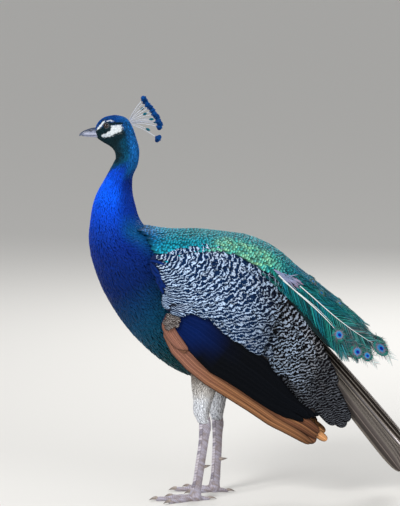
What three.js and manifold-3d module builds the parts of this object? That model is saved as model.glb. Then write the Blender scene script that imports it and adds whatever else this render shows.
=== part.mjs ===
// Male Indian peafowl standing still, life size, with a short train.
// Millimetres, +Z up. The bird faces -X and its left side is -Y. The floor is Z = 0.
import * as THREE from 'three';
import { LoftGeometry } from 'three/addons/geometries/LoftGeometry.js';
import { mergeVertices } from 'three/addons/utils/BufferGeometryUtils.js';
import Module from 'manifold-3d';

const wasm = await Module();
wasm.setup();

// Driving dimensions
const clearance = 0.3; // left between two parts that touch
const ringSides = 16; // points round a section of the body

// Each rib crosses the body from its back to its front: [back x, back z, front x, front z, half width]
const bodyRibs = [
  [-222, 746, -220, 726, 8], // forehead and chin, at the root of the bill
  [-216, 757, -215, 722, 12],
  [-206, 765, -206, 716, 15.5],
  [-194, 769, -197, 711, 17.5], // eye
  [-178, 770, -189, 705, 18],
  [-160, 764, -184, 698, 17.5], // crown
  [-149, 748, -182, 690, 17],
  [-140, 722, -182, 683, 18], // nape
  [-135, 700, -185, 678, 20.5],
  [-138, 672, -193, 662, 24],
  [-148, 648, -206, 639, 28],
  [-149, 620, -218, 618, 33],
  [-144, 594, -228, 590, 40],
  [-134, 562, -234, 552, 50],
  [-114, 542, -236, 518, 63], // shoulders
  [-70, 541, -228, 474, 79],
  [-14, 540, -204, 412, 88],
  [42, 532, -158, 341, 91],
  [84, 512, -94, 279, 88],
  [118, 484, -34, 246, 79],
  [148, 448, 30, 233, 64],
  [170, 412, 90, 266, 45],
  [182, 384, 140, 322, 26],
  [186, 366, 172, 348, 8], // root of the tail
];
const napeRib = 7;
const shoulderRib = 13.5;
const breastRib = 16.5;

// The outer face of the folded wings and of the train: [ridge x, ridge z, lower x, lower z, half width]
const flankRibs = [
  [-134, 556, -230, 500, 62],
  [-70, 543, -228, 474, 87],
  [-14, 542, -204, 412, 99],
  [42, 534, -158, 340, 104],
  [90, 522, -94, 278, 104],
  [136, 499, -30, 224, 98],
  [185, 457, 38, 184, 89],
  [235, 417, 110, 144, 79],
  [285, 375, 178, 108, 70],
  [341, 323, 246, 80, 62],
  [397, 267, 314, 52, 56],
];
const flankShoulder = 0.42; // where the flank turns from the back to the side, as a part of its height
const flankTuck = 0.14; // how far the lower edge turns in, as a part of the half width

// Feather groups of a wing: [upper x, upper z, lower x, lower z] from the front to the tip
const wing = {
  coverts: {
    depth: 0,
    thick: 4.4,
    ribs: [
      [-112, 495, -112, 481],
      [-98, 507, -98, 447],
      [-82, 514, -86, 415],
      [-54, 517, -78, 389],
      [-4, 519, -28, 384],
      [46, 511, 6, 373],
      [90, 493, 38, 351],
      [130, 461, 72, 321],
      [158, 419, 106, 301],
    ],
  },
  tertials: {
    depth: 0,
    thick: 4.4,
    ribs: [
      [159.5, 416, 107.5, 299],
      [176, 392, 128, 279],
      [198, 359, 146, 257],
      [222, 323, 164, 233],
      [246, 279, 190, 203],
      [262, 243, 214, 179],
    ],
    feathers: [
      // [root x, root z, tip x, tip z, half width] of each long feather
      [210, 340, 291, 180, 15],
      [192, 300, 290, 155, 18],
      [178, 266, 272, 140, 18],
      [162, 246, 244, 148, 16],
    ],
  },
  secondaries: {
    depth: 5,
    thick: 4.2,
    ribs: [
      [-60, 399, -72, 361],
      [-22, 407, -56, 335],
      [22, 397, -28, 305],
      [62, 373, 4, 269],
      [102, 341, 50, 243],
      [146, 301, 100, 209],
      [186, 251, 146, 183],
      [212, 215, 186, 169],
    ],
    feathers: [
      [150, 260, 226, 166, 14],
      [140, 242, 216, 158, 13],
      [124, 230, 198, 158, 12],
    ],
  },
  primaries: {
    depth: 9.6,
    thick: 5,
    ribs: [
      [-66, 373, -86, 361],
      [-48, 349, -86, 339],
      [-14, 319, -72, 307],
      [22, 291, -40, 271],
      [66, 267, 2, 236],
      [112, 233, 60, 200],
      [160, 197, 120, 158],
      [180, 181, 142, 147],
    ],
    feathers: [
      [130, 210, 243, 121, 11],
      [110, 198, 221, 126, 12],
      [90, 200, 196, 129, 12],
    ],
  },
};
const alula = {
  depth: 5,
  thick: 4,
  ribs: [
    [-80, 387, -90, 367],
    [-66, 373, -84, 349],
    [-46, 347, -66, 323],
    [-26, 313, -36, 305],
  ],
};
const panelRows = 5; // points across a panel of feathers

const train = {
  lift: 5.2,
  thick: 3.6,
  // [place along the flank ribs, how far down the side it comes]
  reach: [
    [2.9, 0.05],
    [3.3, 0.13],
    [4, 0.15],
    [5, 0.15],
    [5.6, 0.165],
    [6.2, 0.2],
    [7, 0.26],
    [8, 0.29],
    [8.6, 0.29],
  ],
  tips: 7,
  tipReach: 0.22,
  tipLength: 56,
  tipWidth: 21,
};

const tail = {
  root: [150, 402],
  tip: [404, 120],
  feathersASide: 4,
  rootSpread: 24,
  tipSpread: 62,
  drop: [36, 60], // the outer feathers hang below the middle pair like a roof, at the root and the tip
  halfWidth: 19,
  thick: 1.6,
};

const crest = {
  root: [-153, 756],
  plumes: 12,
  firstAngle: 64,
  lastAngle: -30,
  length: [61, 67],
  shaft: 0.55, // half thickness
  vane: [2.9, 8.5], // half width and half length of the spoon at the tip
  spread: 11, // to each side at the tips
};

const eye = { x: -199.5, y: 10.6, z: 750, radius: 7.2 };

// [x, top z, bottom z, half width]
const upperBill = [
  [-222.8, 745.5, 731, 7.6],
  [-229, 744.6, 730.4, 7],
  [-236, 742.6, 730.2, 5.8],
  [-243, 739.8, 730.4, 4.5],
  [-249, 736.6, 730.5, 3],
  [-253, 733, 729, 1.6],
  [-254.4, 730.2, 728.4, 0.7],
];
const lowerBill = [
  [-221.6, 730.4, 725.6, 7],
  [-229, 729.9, 726.4, 6],
  [-238, 729.7, 727, 4.4],
  [-246, 729.9, 728, 2.6],
  [-249.5, 730, 728.9, 1.2],
];

// Each leg: [x, z, half depth, half width] down the leg, and its side
const hipY = 45;
const legs = {
  left: {
    side: -1,
    thigh: [
      [8, 300, 40, 30],
      [2, 262, 34, 26],
      [-4, 232, 26, 21],
      [-8, 205, 19, 16.5],
      [-11, 182, 16, 14],
      [-9, 168, 13, 12],
      [-5, 158, 11, 9.5],
    ],
    tarsus: [
      [-4, 158, 11.5, 9],
      [-4, 146, 12, 9.2],
      [-6, 128, 10.2, 7.6],
      [-9, 104, 9.6, 7],
      [-13, 78, 9.6, 7],
      [-17, 50, 9.4, 7.4],
      [-20, 32, 9.8, 8.4],
      [-22, 22, 10.4, 9],
    ],
    middleToe: 184,
  },
  right: {
    side: 1,
    thigh: [
      [30, 300, 40, 30],
      [27, 262, 34, 26],
      [24, 230, 26, 21],
      [22, 200, 19, 16.5],
      [20, 176, 16, 14],
      [20, 160, 13, 12],
      [21, 150, 11, 9.5],
    ],
    tarsus: [
      [21.5, 150, 11.5, 9],
      [22, 138, 12, 9.2],
      [21.5, 120, 10.2, 7.6],
      [21, 98, 9.6, 7],
      [20, 74, 9.6, 7],
      [18.5, 50, 9.4, 7.4],
      [17.5, 32, 9.8, 8.4],
      [16, 22, 10.4, 9],
    ],
    middleToe: 178,
  },
};
const toes = [
  // [name, degrees from the middle toe towards the outside, length, thickness]
  ['inner', -30, 50, 5.6],
  ['middle', 0, 74, 6.2],
  ['outer', 30, 58, 5.6],
  ['hind', 188, 26, 4.6],
];
const soleZ = 0;
const clawLength = 15;
const spur = { z: 68, length: 15, radius: 4.2 };

// Colours
const finish = (color, roughness, metalness = 0) =>
  new THREE.MeshStandardMaterial({ color, roughness, metalness });
const blue = finish(0x0c2fa8, 0.45, 0.3);
const greenBlack = finish(0x0b2b3a, 0.5, 0.2);
const green = finish(0x1f7d55, 0.45, 0.3);
const barred = finish(0x8d8f8c, 0.8);
const inkBlue = finish(0x0b1430, 0.5, 0.1);
const rufous = finish(0xb4693c, 0.75);
const brown = finish(0x3f3329, 0.8);
const down = finish(0xcfc8bf, 0.95);
const horn = finish(0x9d9aa6, 0.5);
const skin = finish(0x8f8482, 0.6);
const glossBlack = finish(0x0a0706, 0.08);

const group = new THREE.Group();

// Solids and meshes
const solidOf = (geometry) => {
  const plain = new THREE.BufferGeometry();
  plain.setAttribute('position', geometry.attributes.position);
  plain.setIndex(geometry.index);
  const merged = mergeVertices(plain, 1e-4);
  const triVerts = new Uint32Array(merged.index.array);
  const vertProperties = new Float32Array(merged.attributes.position.array);
  const make = () => new wasm.Manifold(new wasm.Mesh({ numProp: 3, vertProperties, triVerts }));
  const solid = make();
  if (solid.volume() > 0) return solid;
  for (let i = 0; i < triVerts.length; i += 3) {
    [triVerts[i], triVerts[i + 1]] = [triVerts[i + 1], triVerts[i]];
  }
  return make();
};

const geometryOf = (solid) => {
  const mesh = solid.getMesh();
  const geometry = new THREE.BufferGeometry();
  geometry.setAttribute('position', new THREE.BufferAttribute(mesh.vertProperties, 3));
  geometry.setIndex(new THREE.BufferAttribute(mesh.triVerts, 1));
  return geometry;
};

const mirrored = (geometry) => {
  const copy = geometry.clone().scale(1, -1, 1);
  const index = copy.index.array;
  for (let i = 0; i < index.length; i += 3) [index[i], index[i + 1]] = [index[i + 1], index[i]];
  return copy;
};

const addNode = (name, geometry, material) => {
  geometry.computeVertexNormals();
  const mesh = new THREE.Mesh(geometry, material);
  mesh.name = name;
  group.add(mesh);
};

const cutBy = (solid, ...others) => others.reduce((rest, other) => rest.subtract(other), solid);
const joined = (solids) => solids.reduce((sum, solid) => sum.add(solid));
const largest = (solid) => solid.decompose().sort((a, b) => b.volume() - a.volume())[0];

// A smooth row of numbers through a table's rows; place 2.5 lies half way from row 2 to row 3
const tableAt = (rows, place) => {
  const last = rows.length - 1;
  const i = Math.min(Math.floor(place), last - 1);
  const t = place - i;
  const row = (k) => rows[Math.min(Math.max(k, 0), last)];
  return rows[i].map((value, c) => {
    const [p0, p1, p2, p3] = [row(i - 1)[c], value, row(i + 1)[c], row(i + 2)[c]];
    const bend = 2 * p1 - 2 * p2 + (p2 - p0) / 2 + (p3 - p1) / 2;
    const rise = -3 * p1 + 3 * p2 - (p2 - p0) - (p3 - p1) / 2;
    return ((bend * t + rise) * t + (p2 - p0) / 2) * t + p1;
  });
};

const places = (from, to, steps) =>
  Array.from({ length: steps + 1 }, (_, i) => from + ((to - from) * i) / steps);

// A closed loft; each section is turned to run counterclockwise as seen from the loft's end
const loft = (sections) => {
  const middle = (points) =>
    points.reduce((sum, point) => sum.add(point), new THREE.Vector3()).divideScalar(points.length);
  const [first, second] = [middle(sections[0]), middle(sections[1])];
  const turn = new THREE.Vector3();
  sections[0].forEach((point, i, ring) => {
    const next = ring[(i + 1) % ring.length];
    turn.add(point.clone().sub(first).cross(next.clone().sub(first)));
  });
  const ordered = turn.dot(second.sub(first)) > 0;
  const rings = ordered ? sections : sections.map((ring) => [...ring].reverse());
  return new LoftGeometry(rings, { capStart: true, capEnd: true });
};

// Body: rings of the ribs
const bodyRing = (place, grow) => {
  const [bx, bz, fx, fz, half] = tableAt(bodyRibs, place);
  const back = new THREE.Vector3(bx, 0, bz);
  const front = new THREE.Vector3(fx, 0, fz);
  const centre = back.clone().add(front).multiplyScalar(0.5);
  const up = back.clone().sub(front);
  const depth = up.length() / 2 + grow;
  up.normalize();
  return places(0, 2 * Math.PI, ringSides)
    .slice(0, -1)
    .map((angle) => {
      const point = centre.clone().addScaledVector(up, depth * Math.cos(angle));
      point.y = (half + grow) * Math.sin(angle);
      return point;
    });
};
const bodyPart = (from, to, steps, grow = 0) =>
  solidOf(loft(places(from, to, steps).map((place) => bodyRing(place, grow))));

const joint = 0.006; // half the gap between two parts of the body, in ribs
const bodyParts = {
  head: [0, napeRib - joint, 10],
  neck: [napeRib + joint, shoulderRib - joint, 9],
  breast: [shoulderRib + joint, breastRib - joint, 5],
  trunk: [breastRib + joint, bodyRibs.length - 1, 11],
};
const wholeBody = joined(Object.values(bodyParts).map((span) => bodyPart(...span, clearance)));

// Eyes in their sockets
const eyeball = (side, grow) =>
  new THREE.SphereGeometry(eye.radius + grow, 10, 6).translate(eye.x, side * eye.y, eye.z);
const sockets = joined([solidOf(eyeball(-1, 2 * clearance)), solidOf(eyeball(1, 2 * clearance))]);
addNode('head', geometryOf(bodyPart(...bodyParts.head).subtract(sockets)), greenBlack);
addNode('neck', geometryOf(bodyPart(...bodyParts.neck)), blue);
addNode('breast', geometryOf(bodyPart(...bodyParts.breast)), blue);
addNode('trunk', geometryOf(bodyPart(...bodyParts.trunk)), green);
addNode('eye_left', eyeball(-1, 0), glossBlack);
addNode('eye_right', eyeball(1, 0), glossBlack);

// Bill: sections that are round above and flat below, or the other way up
const billRing = ([x, top, bottom, half], arched) =>
  places(0, Math.PI, 8).map((angle) => {
    const rise = Math.sin(angle) ** 0.8 * (top - bottom);
    const z = arched === 'above' ? bottom + rise : top - rise;
    return new THREE.Vector3(x, half * Math.cos(angle), z);
  });
addNode('bill_upper', loft(upperBill.map((row) => billRing(row, 'above'))), horn);
addNode('bill_lower', loft(lowerBill.map((row) => billRing(row, 'below').reverse())), horn);

// Crest: thin bare shafts in a fan, each with a spoon at its tip
const plume = (index) => {
  const t = index / (crest.plumes - 1);
  const angle = THREE.MathUtils.degToRad(THREE.MathUtils.lerp(crest.firstAngle, crest.lastAngle, t));
  const inner = index % 3 === 1;
  const length = THREE.MathUtils.lerp(crest.length[0], crest.length[1], t) * (inner ? 0.74 : 1);
  const sideways = crest.spread * Math.sin(index * 2.4);
  const root = new THREE.Vector3(crest.root[0], 0, crest.root[1]);
  const along = new THREE.Vector3(Math.cos(angle), 0, Math.sin(angle));
  const across = new THREE.Vector3(-Math.sin(angle), 0, Math.cos(angle));
  const [vaneHalf, vaneLength] = crest.vane;
  const spoon = 1 - (2 * vaneLength) / length;
  const stops = [-0.08, 0.45, spoon, spoon + (1 - spoon) * 0.35, spoon + (1 - spoon) * 0.75, 1];
  const halves = [crest.shaft, crest.shaft, crest.shaft, vaneHalf * 0.8, vaneHalf, 0.8];
  return loft(
    stops.map((s, i) => {
      const sag = 0.05 * length * Math.sin(Math.PI * Math.max(s, 0));
      const centre = root.clone().addScaledVector(along, s * length).addScaledVector(across, sag);
      centre.y = sideways * Math.max(s, 0);
      const thick = crest.shaft;
      return [
        centre.clone().addScaledVector(across, halves[i]),
        centre.clone().setY(centre.y + thick),
        centre.clone().addScaledVector(across, -halves[i]),
        centre.clone().setY(centre.y - thick),
      ];
    }),
  );
};
const crestRoot = new THREE.SphereGeometry(1, 8, 6)
  .scale(7, 5, 10)
  .rotateY(0.4)
  .translate(crest.root[0] - 1, 0, crest.root[1]);
const crestSolid = joined([crestRoot, ...places(0, crest.plumes - 1, crest.plumes - 1).map(plume)].map(solidOf));
addNode('crest', geometryOf(crestSolid.subtract(wholeBody)), inkBlue);

// Flank: the side of the folded wings, as a distance from the middle plane for a place on the side view
const flankShape = (v) => {
  if (v > flankShoulder) {
    const low = (v - flankShoulder) / (1 - flankShoulder);
    return 1 - flankTuck * low * low;
  }
  const high = Math.min(1, (flankShoulder - v) / flankShoulder);
  return (1 - high ** 2.3) ** (1 / 2.3);
};
const flankAt = (x, z) => {
  const offLine = (place) => {
    const [bx, bz, fx, fz] = tableAt(flankRibs, place);
    return (fx - bx) * (z - bz) - (fz - bz) * (x - bx);
  };
  let [low, high] = [0, flankRibs.length - 1];
  for (let i = 0; i < 30; i += 1) {
    const middle = (low + high) / 2;
    if (offLine(middle) > 0) low = middle;
    else high = middle;
  }
  const [bx, bz, fx, fz, half] = tableAt(flankRibs, low);
  const v = ((x - bx) * (fx - bx) + (z - bz) * (fz - bz)) / ((fx - bx) ** 2 + (fz - bz) ** 2);
  return half * flankShape(Math.min(Math.max(v, 0), 1));
};

// A slab of feathers that follows the left flank, sunk in it by depth
const panel = ({ ribs, depth, thick }, steps, grow = 0) => {
  const last = ribs.length - 1;
  return loft(
    places(0, last, steps).map((place) => {
      const [ux, uz, lx, lz] = tableAt(ribs, place);
      const [wx, wz] = [lx - ux, lz - uz];
      const stretch = grow / Math.hypot(wx, wz);
      const outer = [];
      const inner = [];
      for (const v of places(-stretch, 1 + stretch, panelRows - 1)) {
        const [x, z] = [ux + wx * v, uz + wz * v];
        const edge = Math.sin(Math.PI * Math.min(Math.max(v, 0), 1)) ** 0.5;
        const y = flankAt(x, z) - depth + grow;
        const slab = 1.4 + (thick - 1.4) * edge + 2 * grow;
        outer.push(new THREE.Vector3(x, -y, z));
        inner.unshift(new THREE.Vector3(x, -(y - slab), z));
      }
      return [...outer, ...inner];
    }),
  );
};

// One long flat feather on the left flank, from its root to its rounded tip
const longFeather = ([rx, rz, tx, tz, half], depth, thick, grow = 0) => {
  const axis = new THREE.Vector2(tx - rx, tz - rz);
  const length = axis.length();
  axis.normalize();
  const stops = [0, 0.5, 0.84, 0.96, 1];
  const widths = [0.8, 1, 0.86, 0.48, 0.12];
  return loft(
    stops.map((s, i) => {
      const [x, z] = [rx + axis.x * s * length, rz + axis.y * s * length];
      const w = half * widths[i] + grow;
      const ring = [];
      for (const [across, side] of [[-1, 0], [0, 1], [1, 0], [0, -1]]) {
        const [px, pz] = [x - axis.y * across * w, z + axis.x * across * w];
        const y = flankAt(px, pz) - depth - thick / 2 + side * (thick / 2 + grow);
        ring.push(new THREE.Vector3(px, -y, pz));
      }
      return ring;
    }),
  );
};

const featherGroup = (spec, steps, grow = 0) => {
  const { depth, thick, feathers = [] } = spec;
  const blades = feathers.map((row, i) => solidOf(longFeather(row, depth + 1.8 + 0.2 * i, 1.8, grow)));
  return joined([solidOf(panel(spec, steps, grow)), ...blades]);
};

const covertsBig = featherGroup(wing.coverts, 10, clearance);
const tertialsBig = featherGroup(wing.tertials, 6, clearance);
const secondariesBig = featherGroup(wing.secondaries, 8, clearance);
const alulaBig = featherGroup(alula, 4, clearance);

const wingParts = {
  coverts: [cutBy(featherGroup(wing.coverts, 10), wholeBody, tertialsBig), barred],
  tertials: [cutBy(featherGroup(wing.tertials, 6), wholeBody), barred],
  secondaries: [cutBy(featherGroup(wing.secondaries, 8), wholeBody, covertsBig, tertialsBig), inkBlue],
  alula: [cutBy(featherGroup(alula, 4), wholeBody, covertsBig, secondariesBig), rufous],
  primaries: [
    cutBy(featherGroup(wing.primaries, 8), wholeBody, covertsBig, secondariesBig, tertialsBig, alulaBig),
    rufous,
  ],
};

// Train: a cape over the rump, with the rounded tips of its longest feathers
const capePoint = (place, v, lift) => {
  const [bx, bz, fx, fz, half] = tableAt(flankRibs, place);
  const down = Math.abs(v);
  const reach = new THREE.Vector3(fx - bx, 0, fz - bz);
  const outward = reach.clone().normalize().multiplyScalar(-1);
  const point = new THREE.Vector3(bx, 0, bz).addScaledVector(reach, down);
  const slope = Math.min(1, down / flankShoulder);
  point.y = Math.sign(v) * (half * flankShape(down) + lift * slope);
  return point.addScaledVector(outward, lift * (1 - slope));
};
const capeRing = (place, grow) => {
  const lastPlace = train.reach.length - 1;
  let row = 0;
  while (row < lastPlace - 1 && train.reach[row + 1][0] < place) row += 1;
  const [[p0, r0], [p1, r1]] = [train.reach[row], train.reach[row + 1]];
  const reach = r0 + ((r1 - r0) * (place - p0)) / (p1 - p0);
  const across = places(-1, 1, 8).map((t) => Math.sign(t) * Math.abs(t) ** 1.5 * reach);
  return [
    ...across.map((v) => capePoint(place, v, train.lift + grow)),
    ...across.reverse().map((v) => capePoint(place, v, train.lift - train.thick - grow)),
  ];
};
const capeFrom = train.reach[0][0];
const capeTo = train.reach[train.reach.length - 1][0];
const cape = (grow) => solidOf(loft(places(capeFrom, capeTo, 8).map((place) => capeRing(place, grow))));

const capeTip = (t, grow) => {
  const v = Math.sign(t) * Math.abs(t) ** 1.5 * train.tipReach;
  const lift = train.lift - train.thick / 2;
  const root = capePoint(capeTo - 0.4, v, lift);
  const aim = capePoint(capeTo + 0.8, v * 0.9, lift).sub(root).normalize();
  const outward = capePoint(capeTo, v, lift + 1).sub(capePoint(capeTo, v, lift)).normalize();
  const sideways = new THREE.Vector3().crossVectors(aim, outward).normalize();
  const length = train.tipLength * (1 - 0.28 * Math.abs(t)) + 26;
  const stops = [0, 0.65, 0.85, 0.95, 1];
  const widths = [0.8, 1, 0.85, 0.5, 0.15];
  return solidOf(
    loft(
      stops.map((s, i) => {
        const centre = root.clone().addScaledVector(aim, s * length);
        const w = train.tipWidth * widths[i] + grow;
        return [
          centre.clone().addScaledVector(sideways, w),
          centre.clone().addScaledVector(outward, 1.1 + grow),
          centre.clone().addScaledVector(sideways, -w),
          centre.clone().addScaledVector(outward, -1.1 - grow),
        ];
      }),
    ),
  );
};
const trainSolid = (grow) => joined([cape(grow), ...places(-1, 1, train.tips - 1).map((t) => capeTip(t, grow))]);
const mirroredSolid = (solid) => solidOf(mirrored(geometryOf(solid)));
const bothSides = (solid) => [solid, mirroredSolid(solid)];
const trainBody = cutBy(trainSolid(0), wholeBody, ...bothSides(covertsBig), ...bothSides(tertialsBig));
addNode('train', geometryOf(trainBody), green);
for (const [name, [solid, material]] of Object.entries(wingParts)) {
  const geometry = geometryOf(solid);
  addNode(`wing_left_${name}`, geometry, material);
  addNode(`wing_right_${name}`, mirrored(geometry), material);
}

// Tail: feathers that overlap like a roof
const tailFeather = (k, grow) => {
  const t = k / (tail.feathersASide - 0.5);
  const out = Math.abs(t);
  const root = new THREE.Vector3(tail.root[0], tail.rootSpread * t, tail.root[1] - tail.drop[0] * out);
  const tip = new THREE.Vector3(tail.tip[0] - 20 * out, tail.tipSpread * t, tail.tip[1] - tail.drop[1] * out);
  const aim = tip.clone().sub(root);
  const length = aim.length();
  aim.normalize();
  const lean = THREE.MathUtils.degToRad(62 * t);
  const flat = new THREE.Vector3().crossVectors(aim, new THREE.Vector3(0, -Math.sin(lean), Math.cos(lean)));
  flat.normalize();
  const normal = new THREE.Vector3().crossVectors(flat, aim).normalize();
  const stops = [0, 0.5, 0.86, 0.96, 1];
  const widths = [0.5, 0.9, 0.95, 0.58, 0.12];
  return loft(
    stops.map((s, i) => {
      const centre = root.clone().addScaledVector(aim, s * length);
      const w = tail.halfWidth * widths[i] + grow;
      const h = tail.thick / 2 + (i === 0 ? 2 : 0) + grow;
      return [
        centre.clone().addScaledVector(flat, w),
        centre.clone().addScaledVector(normal, h),
        centre.clone().addScaledVector(flat, -w),
        centre.clone().addScaledVector(normal, -h),
      ];
    }),
  );
};
const tailSteps = 2 * tail.feathersASide - 1;
const tailPlaces = places(0.5 - tail.feathersASide, tail.feathersASide - 0.5, tailSteps);
const tailRoot = new THREE.SphereGeometry(1, 12, 8)
  .scale(50, 36, 30)
  .rotateY(THREE.MathUtils.degToRad(48))
  .translate(tail.root[0] + 26, 0, tail.root[1] - 62);
const tailSolid = (grow) => joined([tailRoot, ...tailPlaces.map((k) => tailFeather(k, grow))].map(solidOf));
const primariesBig = featherGroup(wing.primaries, 8, clearance);
const allWings = [covertsBig, tertialsBig, secondariesBig, primariesBig].flatMap(bothSides);
const tailBody = cutBy(tailSolid(0), wholeBody, ...allWings, trainSolid(clearance));
addNode('tail', geometryOf(largest(tailBody)), brown);

// Legs
const limbRing = ([x, z, depth, half], y, sides) =>
  places(0, 2 * Math.PI, sides)
    .slice(0, -1)
    .map((angle) => new THREE.Vector3(x + depth * Math.cos(angle), y + half * Math.sin(angle), z));
const limb = (rows, y, steps, sides) =>
  solidOf(loft(places(0, rows.length - 1, steps).map((place) => limbRing(tableAt(rows, place), y, sides))));

// A toe lies along the floor with its sole flattened, in pads between its knuckles
const toeRing = (start, aim, s, length, radius, grow) => {
  const swell = 1 + 0.1 * Math.cos(s * 4 * Math.PI);
  const r = radius * (1.12 - 0.42 * s) * swell + grow;
  const centre = start.clone().addScaledVector(aim, s * length);
  centre.z = soleZ + r * 0.82;
  const side = new THREE.Vector3(-aim.y, aim.x, 0);
  return places(0, 2 * Math.PI, 7)
    .slice(0, -1)
    .map((angle) => {
      const point = centre.clone().addScaledVector(side, r * Math.cos(angle + 0.3 * Math.PI));
      point.z = Math.max(soleZ, centre.z + r * Math.sin(angle + 0.3 * Math.PI));
      return point;
    });
};
const claw = (start, aim, radius) => {
  const stops = [0, 0.4, 0.75, 1];
  return loft(
    stops.map((s) => {
      const r = radius * 0.62 * (1 - s * 0.88);
      const centre = start.clone().addScaledVector(aim, s * clawLength);
      centre.z = soleZ + radius * 0.72 * (1 - s ** 2 * 0.72) + 0.4;
      const side = new THREE.Vector3(-aim.y, aim.x, 0);
      return places(0, 2 * Math.PI, 5)
        .slice(0, -1)
        .map((angle) => {
          const point = centre.clone().addScaledVector(side, 0.8 * r * Math.cos(angle));
          point.z += r * Math.sin(angle);
          return point;
        });
    }),
  );
};

for (const [name, leg] of Object.entries(legs)) {
  const y = leg.side * hipY;
  const ankle = leg.tarsus[leg.tarsus.length - 1];
  const thigh = limb(leg.thigh, y, 7, 12);
  addNode(`thigh_${name}`, geometryOf(thigh.subtract(wholeBody)), down);

  const tarsusRows = leg.tarsus.map(([x, z, depth, half]) => [x, z - clearance, depth, half]);
  addNode(`tarsus_${name}`, geometryOf(limb(tarsusRows, y, 9, 10)), skin);

  const footParts = [limb([
    [ankle[0], ankle[1] - 2 * clearance, ankle[2], ankle[3]],
    [ankle[0] - 1, 14, ankle[2] + 1, ankle[3] + 1.5],
    [ankle[0] - 2, 7, ankle[2] + 2.5, ankle[3] + 3.5],
    [ankle[0] - 2, soleZ, ankle[2] + 1, ankle[3] + 2],
  ], y, 4, 10)];
  for (const [toeName, turn, length, radius] of toes) {
    const heading = THREE.MathUtils.degToRad(leg.middleToe - leg.side * turn);
    const aim = new THREE.Vector3(Math.cos(heading), Math.sin(heading), 0);
    const start = new THREE.Vector3(ankle[0] - 2, y, 0).addScaledVector(aim, 4);
    const ring = (s) => toeRing(start, aim, s, length, radius, 0);
    footParts.push(solidOf(loft(places(0, 1, 4).map(ring))));
    const tip = start.clone().addScaledVector(aim, length + clearance);
    addNode(`claw_${name}_${toeName}`, claw(tip, aim, radius), horn);
  }
  addNode(`foot_${name}`, geometryOf(joined(footParts)), skin);

  // The spur stands out behind and inside the shank
  const rows = leg.tarsus;
  let row = 0;
  while (rows[row + 1][1] > spur.z) row += 1;
  const t = (rows[row][1] - spur.z) / (rows[row][1] - rows[row + 1][1]);
  const [shankX, , shankDepth] = tableAt(rows, row + t);
  const spurGeometry = new THREE.ConeGeometry(spur.radius, spur.length, 10, 2)
    .rotateZ(-Math.PI / 2)
    .rotateZ(leg.side * -0.35)
    .translate(shankX + shankDepth + 0.42 * spur.length, y - leg.side * 3.5, spur.z);
  const shank = limb(tarsusRows.map(([x, z, depth, half]) => [x, z, depth + clearance, half + clearance]), y, 9, 10);
  addNode(`spur_${name}`, geometryOf(solidOf(spurGeometry).subtract(shank)), horn);
}

// The origin is the middle of the bird's box, on the floor
const box = new THREE.Box3().setFromObject(group);
const centre = box.getCenter(new THREE.Vector3());
for (const mesh of group.children) mesh.position.set(-centre.x, -centre.y, -box.min.z);

export default group;
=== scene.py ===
# Male Indian peafowl, still, standing: skin, coat, wings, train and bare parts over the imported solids.
# Sizes are millimetres on the side of the bird; toFrame turns them into the frame's metres.
import math

import bmesh
import bpy
import numpy as np
from mathutils import Matrix, Vector


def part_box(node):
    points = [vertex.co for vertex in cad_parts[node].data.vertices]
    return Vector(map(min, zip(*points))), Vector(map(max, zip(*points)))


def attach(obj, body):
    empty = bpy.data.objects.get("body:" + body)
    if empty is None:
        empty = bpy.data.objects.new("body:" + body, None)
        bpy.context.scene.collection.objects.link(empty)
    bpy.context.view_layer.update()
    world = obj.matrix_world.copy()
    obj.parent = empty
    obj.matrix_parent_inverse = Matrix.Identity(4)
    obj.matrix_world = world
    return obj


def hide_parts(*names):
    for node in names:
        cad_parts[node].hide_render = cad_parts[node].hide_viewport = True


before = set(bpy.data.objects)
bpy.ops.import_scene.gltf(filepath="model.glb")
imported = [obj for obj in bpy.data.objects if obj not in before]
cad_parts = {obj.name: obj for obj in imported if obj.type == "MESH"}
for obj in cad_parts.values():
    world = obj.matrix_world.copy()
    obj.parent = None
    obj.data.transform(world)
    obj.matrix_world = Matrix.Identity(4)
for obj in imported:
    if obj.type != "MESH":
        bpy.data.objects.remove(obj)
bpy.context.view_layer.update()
mm = 0.001
tau = 2 * math.pi

# An eye's middle and radius; y is its distance from the middle plane
eyes = dict(x=-199.5, y=10.6, z=750.0, radius=7.2)
eyeLow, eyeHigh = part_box("eye_left")
shiftX = (eyeLow.x + eyeHigh.x) / 2 / mm - eyes["x"]


def toFrame(points):
    return (np.asarray(points, float) + (shiftX, 0, 0)) * mm


# Camera, floor and light
studio = dict(aim=(-14, 0, 494), distance=6.0, elevation=7.0, lens=270.0, sensor=36, sight=60,
              floor="#dedcd8", floorReach=30, floorRough=0.9, world="#f4f5f6", worldLight=0.55,
              lampAim=(0, 0, 0.4))
lamps = dict(
    key=dict(place=(-1.9, -2.6, 2.6), size=1.3, power=105),
    fill=dict(place=(2.4, -2.4, 1.2), size=1.8, power=38),
    back=dict(place=(0.8, 2.6, 2.2), size=1.6, power=50),
)


def linear(hexColour):
    parts = [int(hexColour[i:i + 2], 16) / 255 for i in (1, 3, 5)]
    return tuple(c / 12.92 if c < 0.04045 else ((c + 0.055) / 1.055) ** 2.4 for c in parts)


def linearFour(hexColour):
    return (*linear(hexColour), 1.0)


def dye(hexColour):
    return np.asarray(linear(hexColour))


def makeCamera(scene):
    camera = bpy.data.objects.new("camera", bpy.data.cameras.new("camera"))
    scene.collection.objects.link(camera)
    camera.data.sensor_fit = "HORIZONTAL"
    camera.data.sensor_width = studio["sensor"]
    camera.data.lens = studio["lens"]
    camera.data.clip_end = studio["sight"]
    rise = math.radians(studio["elevation"])
    away = Vector((0, -math.cos(rise), math.sin(rise)))
    camera.location = Vector(toFrame(studio["aim"])) + studio["distance"] * away
    camera.rotation_euler = (math.pi / 2 - rise, 0, 0)
    scene.camera = camera


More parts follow.
